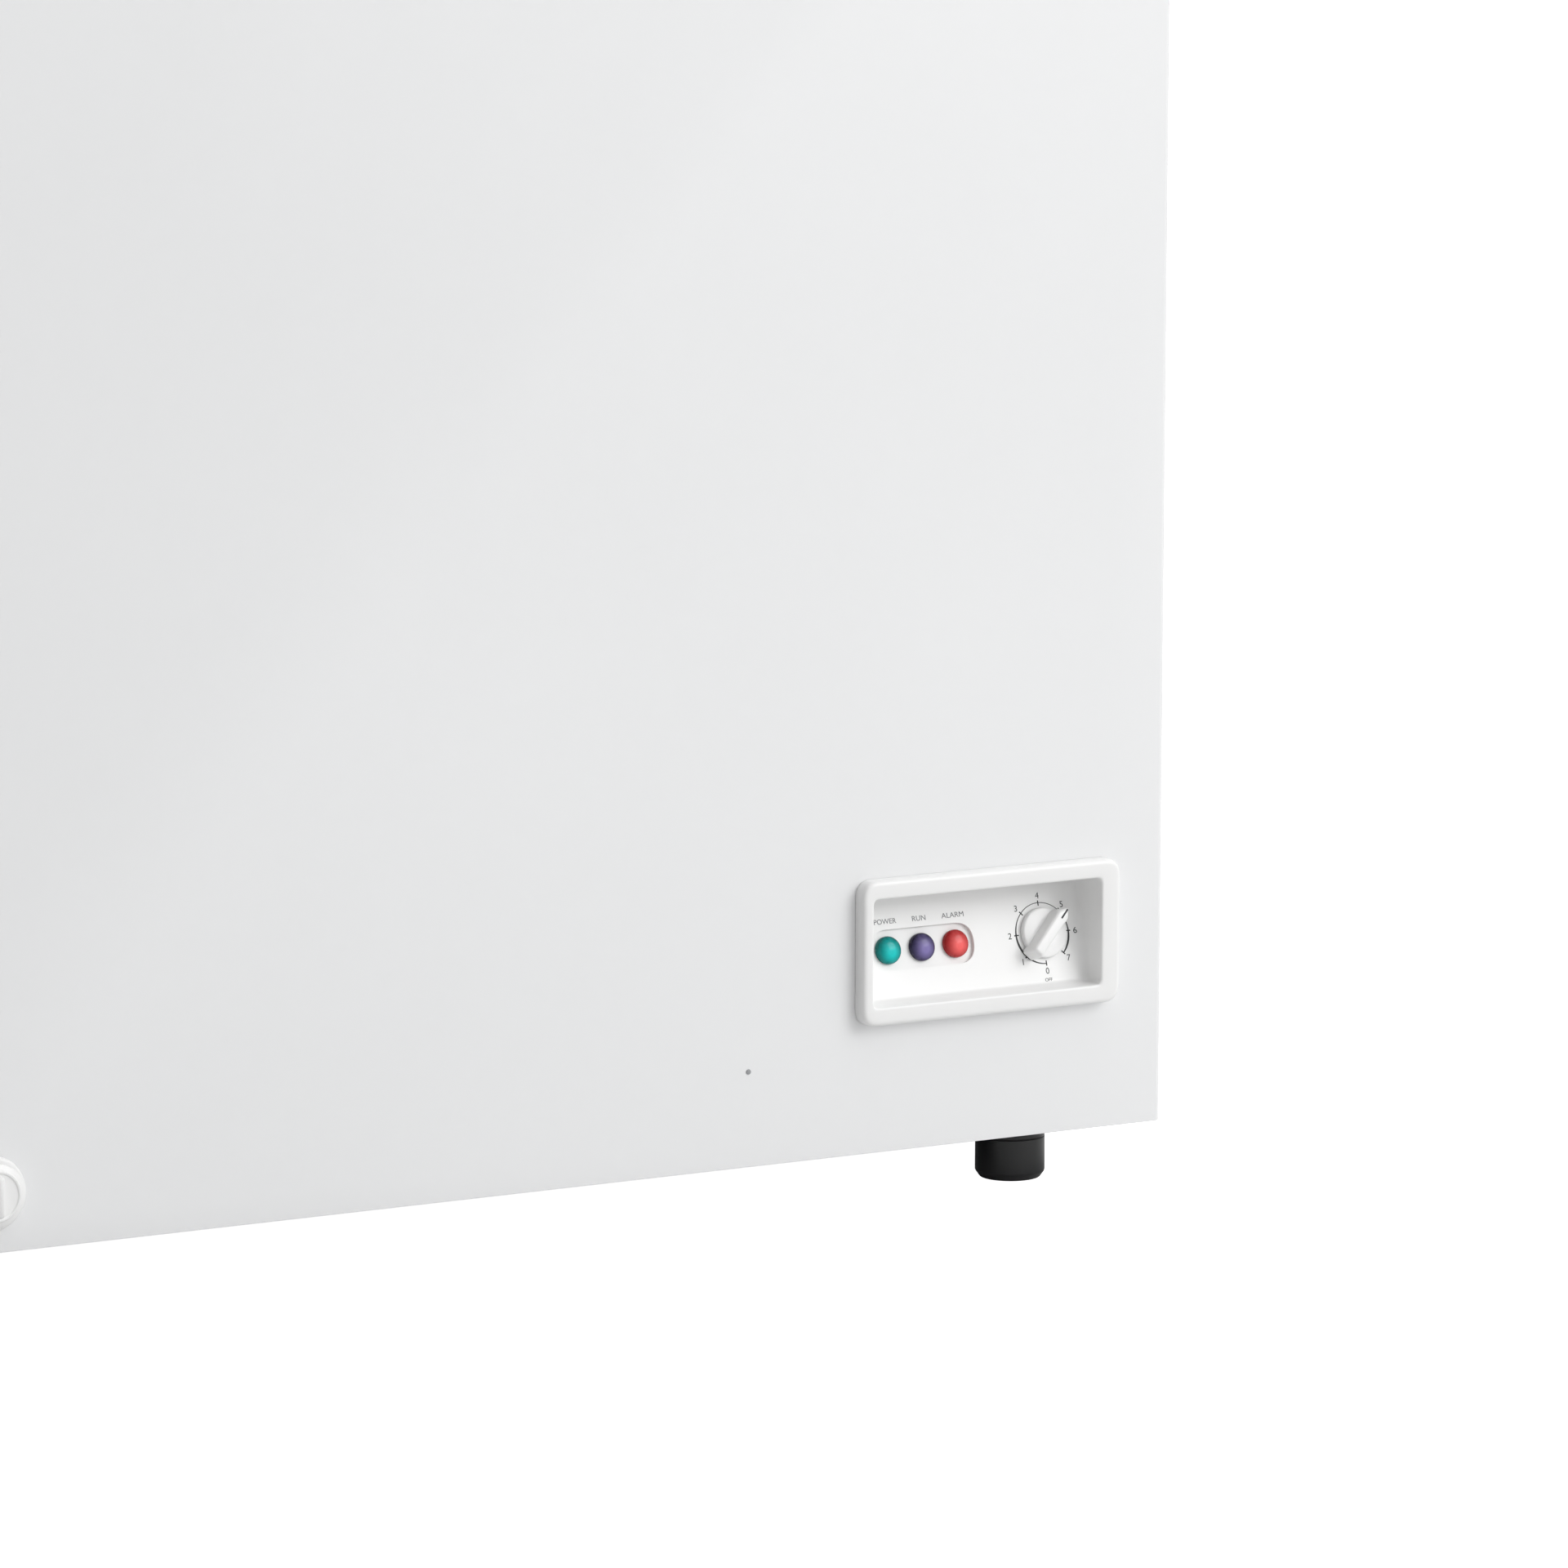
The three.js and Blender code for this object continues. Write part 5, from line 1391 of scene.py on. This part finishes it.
cup_section = [
    (0, cup_foot, 0), (shell_radius - 18, cup_foot, 14), (shell_radius, cup_foot + 16, 20),
    (shell_radius, seam_z, 0.6), (shell_radius - 3, seam_z, 0.6),
    (shell_radius - 3, cup_foot + 17, 18), (shell_radius - 20, cup_foot + 3, 12), (0, cup_foot + 3, 0),
]
lower_cup = turned("cup", fillet(cup_section, 7, closed=False), 72)
moved(lower_cup, oval)
grommet_spots = []
for node in ("compressor_grommet_1", "compressor_grommet_2", "compressor_grommet_3", "compressor_grommet_4"):
    low, high = span(node)
    grommet_spots.append((node, (low + high) / 2, low.z, high.z))
foot_outline = rounded_box(
    pump_centre.x - 72, pump_centre.x + 72, pump_centre.y - 92, pump_centre.y + 92, 14, 8
)
foot_holes = [circle(spot.x, spot.y, 3.6) for _, spot, _, _ in grommet_spots]
foot_plate = outline_plate("foot_plate", foot_outline, 4.7, 0.8, holes=foot_holes)
moved(foot_plate, shift(0, 0, 45.3))
lower = joined("compressor_lower_shell", [lower_cup, foot_plate])
lower_slot = "compressor_black"
place("compressor_lower_pressing", lower, shell_black, "cabinet", ["compressor_lower_shell"], lower_slot)
dome_radius_out, dome_radius_in = shell_radius + 1.5, shell_radius - 3
dome_section = [
    (0, shell_top - 3, 0), (shell_radius * 0.5, shell_top - 4.5, 20),
    (shell_radius * 0.86, shell_top - 20, 18),
    (dome_radius_in, shell_top - 48, 18), (dome_radius_in, dome_low.z, 0.5),
    (dome_radius_out, dome_low.z, 0.8),
    (dome_radius_out, shell_top - 46, 22), (shell_radius * 0.88, shell_top - 15, 20),
    (shell_radius * 0.5, shell_top - 0.6, 22), (0, shell_top, 0),
]
dome_skin = turned("dome", fillet(dome_section, 7, closed=False), 72)
seam_in, seam_out = dome_radius_out - 0.3, dome_radius_out + 1.2
seam_section = [
    (seam_in, dome_low.z, 0), (seam_out, dome_low.z + 0.5, 0.8), (seam_out, dome_low.z + 3, 0.8),
    (seam_in, dome_low.z + 3.6, 0),
]
weld_bead = turned("weld_bead", fillet(seam_section, 3), 72)
dome_mesh = moved(joined("compressor_dome", [dome_skin, weld_bead]), oval)
place("compressor_dome_pressing", dome_mesh, shell_black, "cabinet", ["compressor_dome"], "compressor_black")
keep_node("compressor_pump", bright_steel, 0.6)
for node, spot, low_z, high_z in grommet_spots:
    tall = high_z - low_z
    bush = [
        (3.3, 0, 0.3), (9, 0, 1.0), (9, tall * 0.34, 1.2), (6.8, tall * 0.47, 1.2), (9, tall * 0.62, 1.2),
        (9, tall, 1.4), (3.3, tall, 0.4),
    ]
    bush_mesh = turned(node, fillet(bush, 4), 36)
    moved(bush_mesh, shift(spot.x, spot.y, low_z))
    place(f"{node}_bush", bush_mesh, black_rubber, "cabinet", [node], "black_rubber")


# ---------------------------------------------------------------- start relay and its leads
# A black moulded cover, clipped over the compressor's terminals, takes the leads from the thermostat; they
# run up to the lamps inside one black sleeve.
relay_low, relay_high = span("start_relay")


def relay_outline(inset):
    """The cover's outline at one inset."""
    edges = (relay_low.x + inset, relay_high.x - inset, relay_low.z + inset, relay_high.z - inset)
    return rounded_box(*edges, 4, 5)


relay_deep = relay_high.y - relay_low.y
relay_levels = [
    (0, 0), (0, relay_deep - 2.5), (0.5, relay_deep - 1), (1.6, relay_deep), (6, relay_deep),
    (7, relay_deep - 1.2),
]
relay_mesh = moved(pressing(relay_outline, relay_levels), FACE_FRONT, shift(0, relay_high.y, 0))
place("start_relay_cover", relay_mesh, black_polypropylene, "cabinet", ["start_relay"], "black_plastic")
keep_node("wiring_harness", black_polypropylene, 0)
keep_node("lamp_holder", white_abs, 0.5)
keep_node("thermostat", plated_steel, 0.4)
keep_node("thermostat_shaft", bright_steel, 0.2)


# ---------------------------------------------------------------- refrigerant circuit
# Drawn copper tube brazed into one loop: suction and discharge tubes at the compressor, a filter drier, the
# fine capillary wound beside it, and the two coils that lie against the liner and behind the front sheet.
drawn_copper = stock("drawn_copper", (0.62, 0.27, 0.14), 0.28, 1.0, mottle=0.12, grain=(900.0, 0.02))


def bent(corners, radius, steps=8):
    """A path through the corners with each one turned in a smooth bend."""
    points = [Vector(corners[0])]
    for before, here, after in zip(corners, corners[1:], corners[2:]):
        here = Vector(here)
        back, onward = Vector(before) - here, Vector(after) - here
        reach = min(radius, back.length * 0.48, onward.length * 0.48)
        start, end = here + back.normalized() * reach, here + onward.normalized() * reach
        for step in range(steps + 1):
            t = step / steps
            points.append(start.lerp(here, t).lerp(here.lerp(end, t), t))
    return [tuple(point) for point in (*points, Vector(corners[-1]))]


suction_low, suction_high = span("suction_tube")
suction_x = (suction_low.x + suction_high.x) / 2
suction_back = suction_high.y - 4
suction_path = [
    (suction_x, suction_low.y, 150), (suction_x, suction_back, 150),
    (suction_x, suction_back, suction_high.z),
]
suction = wire("suction_tube", [bent(suction_path, 20)], 4.0, 5)
place("suction_tube_drawn", suction, drawn_copper, "cabinet", ["suction_tube"], "copper")
out_low, out_high = span("discharge_tube")
out_x = out_low.x + 3
discharge_path = [
    (out_high.x, pump_centre.y, 100), (out_x, pump_centre.y, 100), (out_x, pump_centre.y - 60, 180),
    (out_x, pump_centre.y - 60, out_high.z),
]
discharge = wire("discharge_tube", [bent(discharge_path, 18)], 3.0, 5)
place("discharge_tube_drawn", discharge, drawn_copper, "cabinet", ["discharge_tube"], "copper")
drier_low, drier_high = span("filter_drier")
drier_centre = (drier_low + drier_high) / 2
drier_section = [
    (0, 0, 0), (3, 0, 0.6), (3, 8, 3), (10, 18, 6), (10, 80, 6), (3, 90, 3), (3, 96, 0.6), (0, 96, 0),
]
drier = turned("filter_drier", fillet(drier_section, 6, closed=False), 40)
moved(drier, shift(drier_centre.x, drier_centre.y, drier_low.z))
place("filter_drier_body", drier, drawn_copper, "cabinet", ["filter_drier"], "copper")
fine_low, fine_high = span("capillary_tube")
fine_centre = (fine_low + fine_high) / 2
fine_radius, fine_turns, fine_wire = 16.0, 5, 1.2
fine_foot, fine_head = fine_low.z + fine_wire, fine_high.z - fine_wire
fine_coil = coiled(fine_centre.xy, fine_radius, fine_foot, fine_head, fine_turns, math.pi, 40)
capillary = wire("capillary_tube", [fine_coil], fine_wire, 3)
place("capillary_tube_wound", capillary, drawn_copper, "cabinet", ["capillary_tube"], "copper")
keep_node("evaporator_coil", drawn_copper, 0)
keep_node("condenser_coil", drawn_copper, 0)


# ---------------------------------------------------------------- cabinet foam
# Rigid polyurethane foam poured between wrap, tub and rear panel. It sets hard, insulates, and holds the
# sheets and both coils in place for good; it can't be seen once the freezer is closed.
keep_node("foam_body", pour_foam, 0)
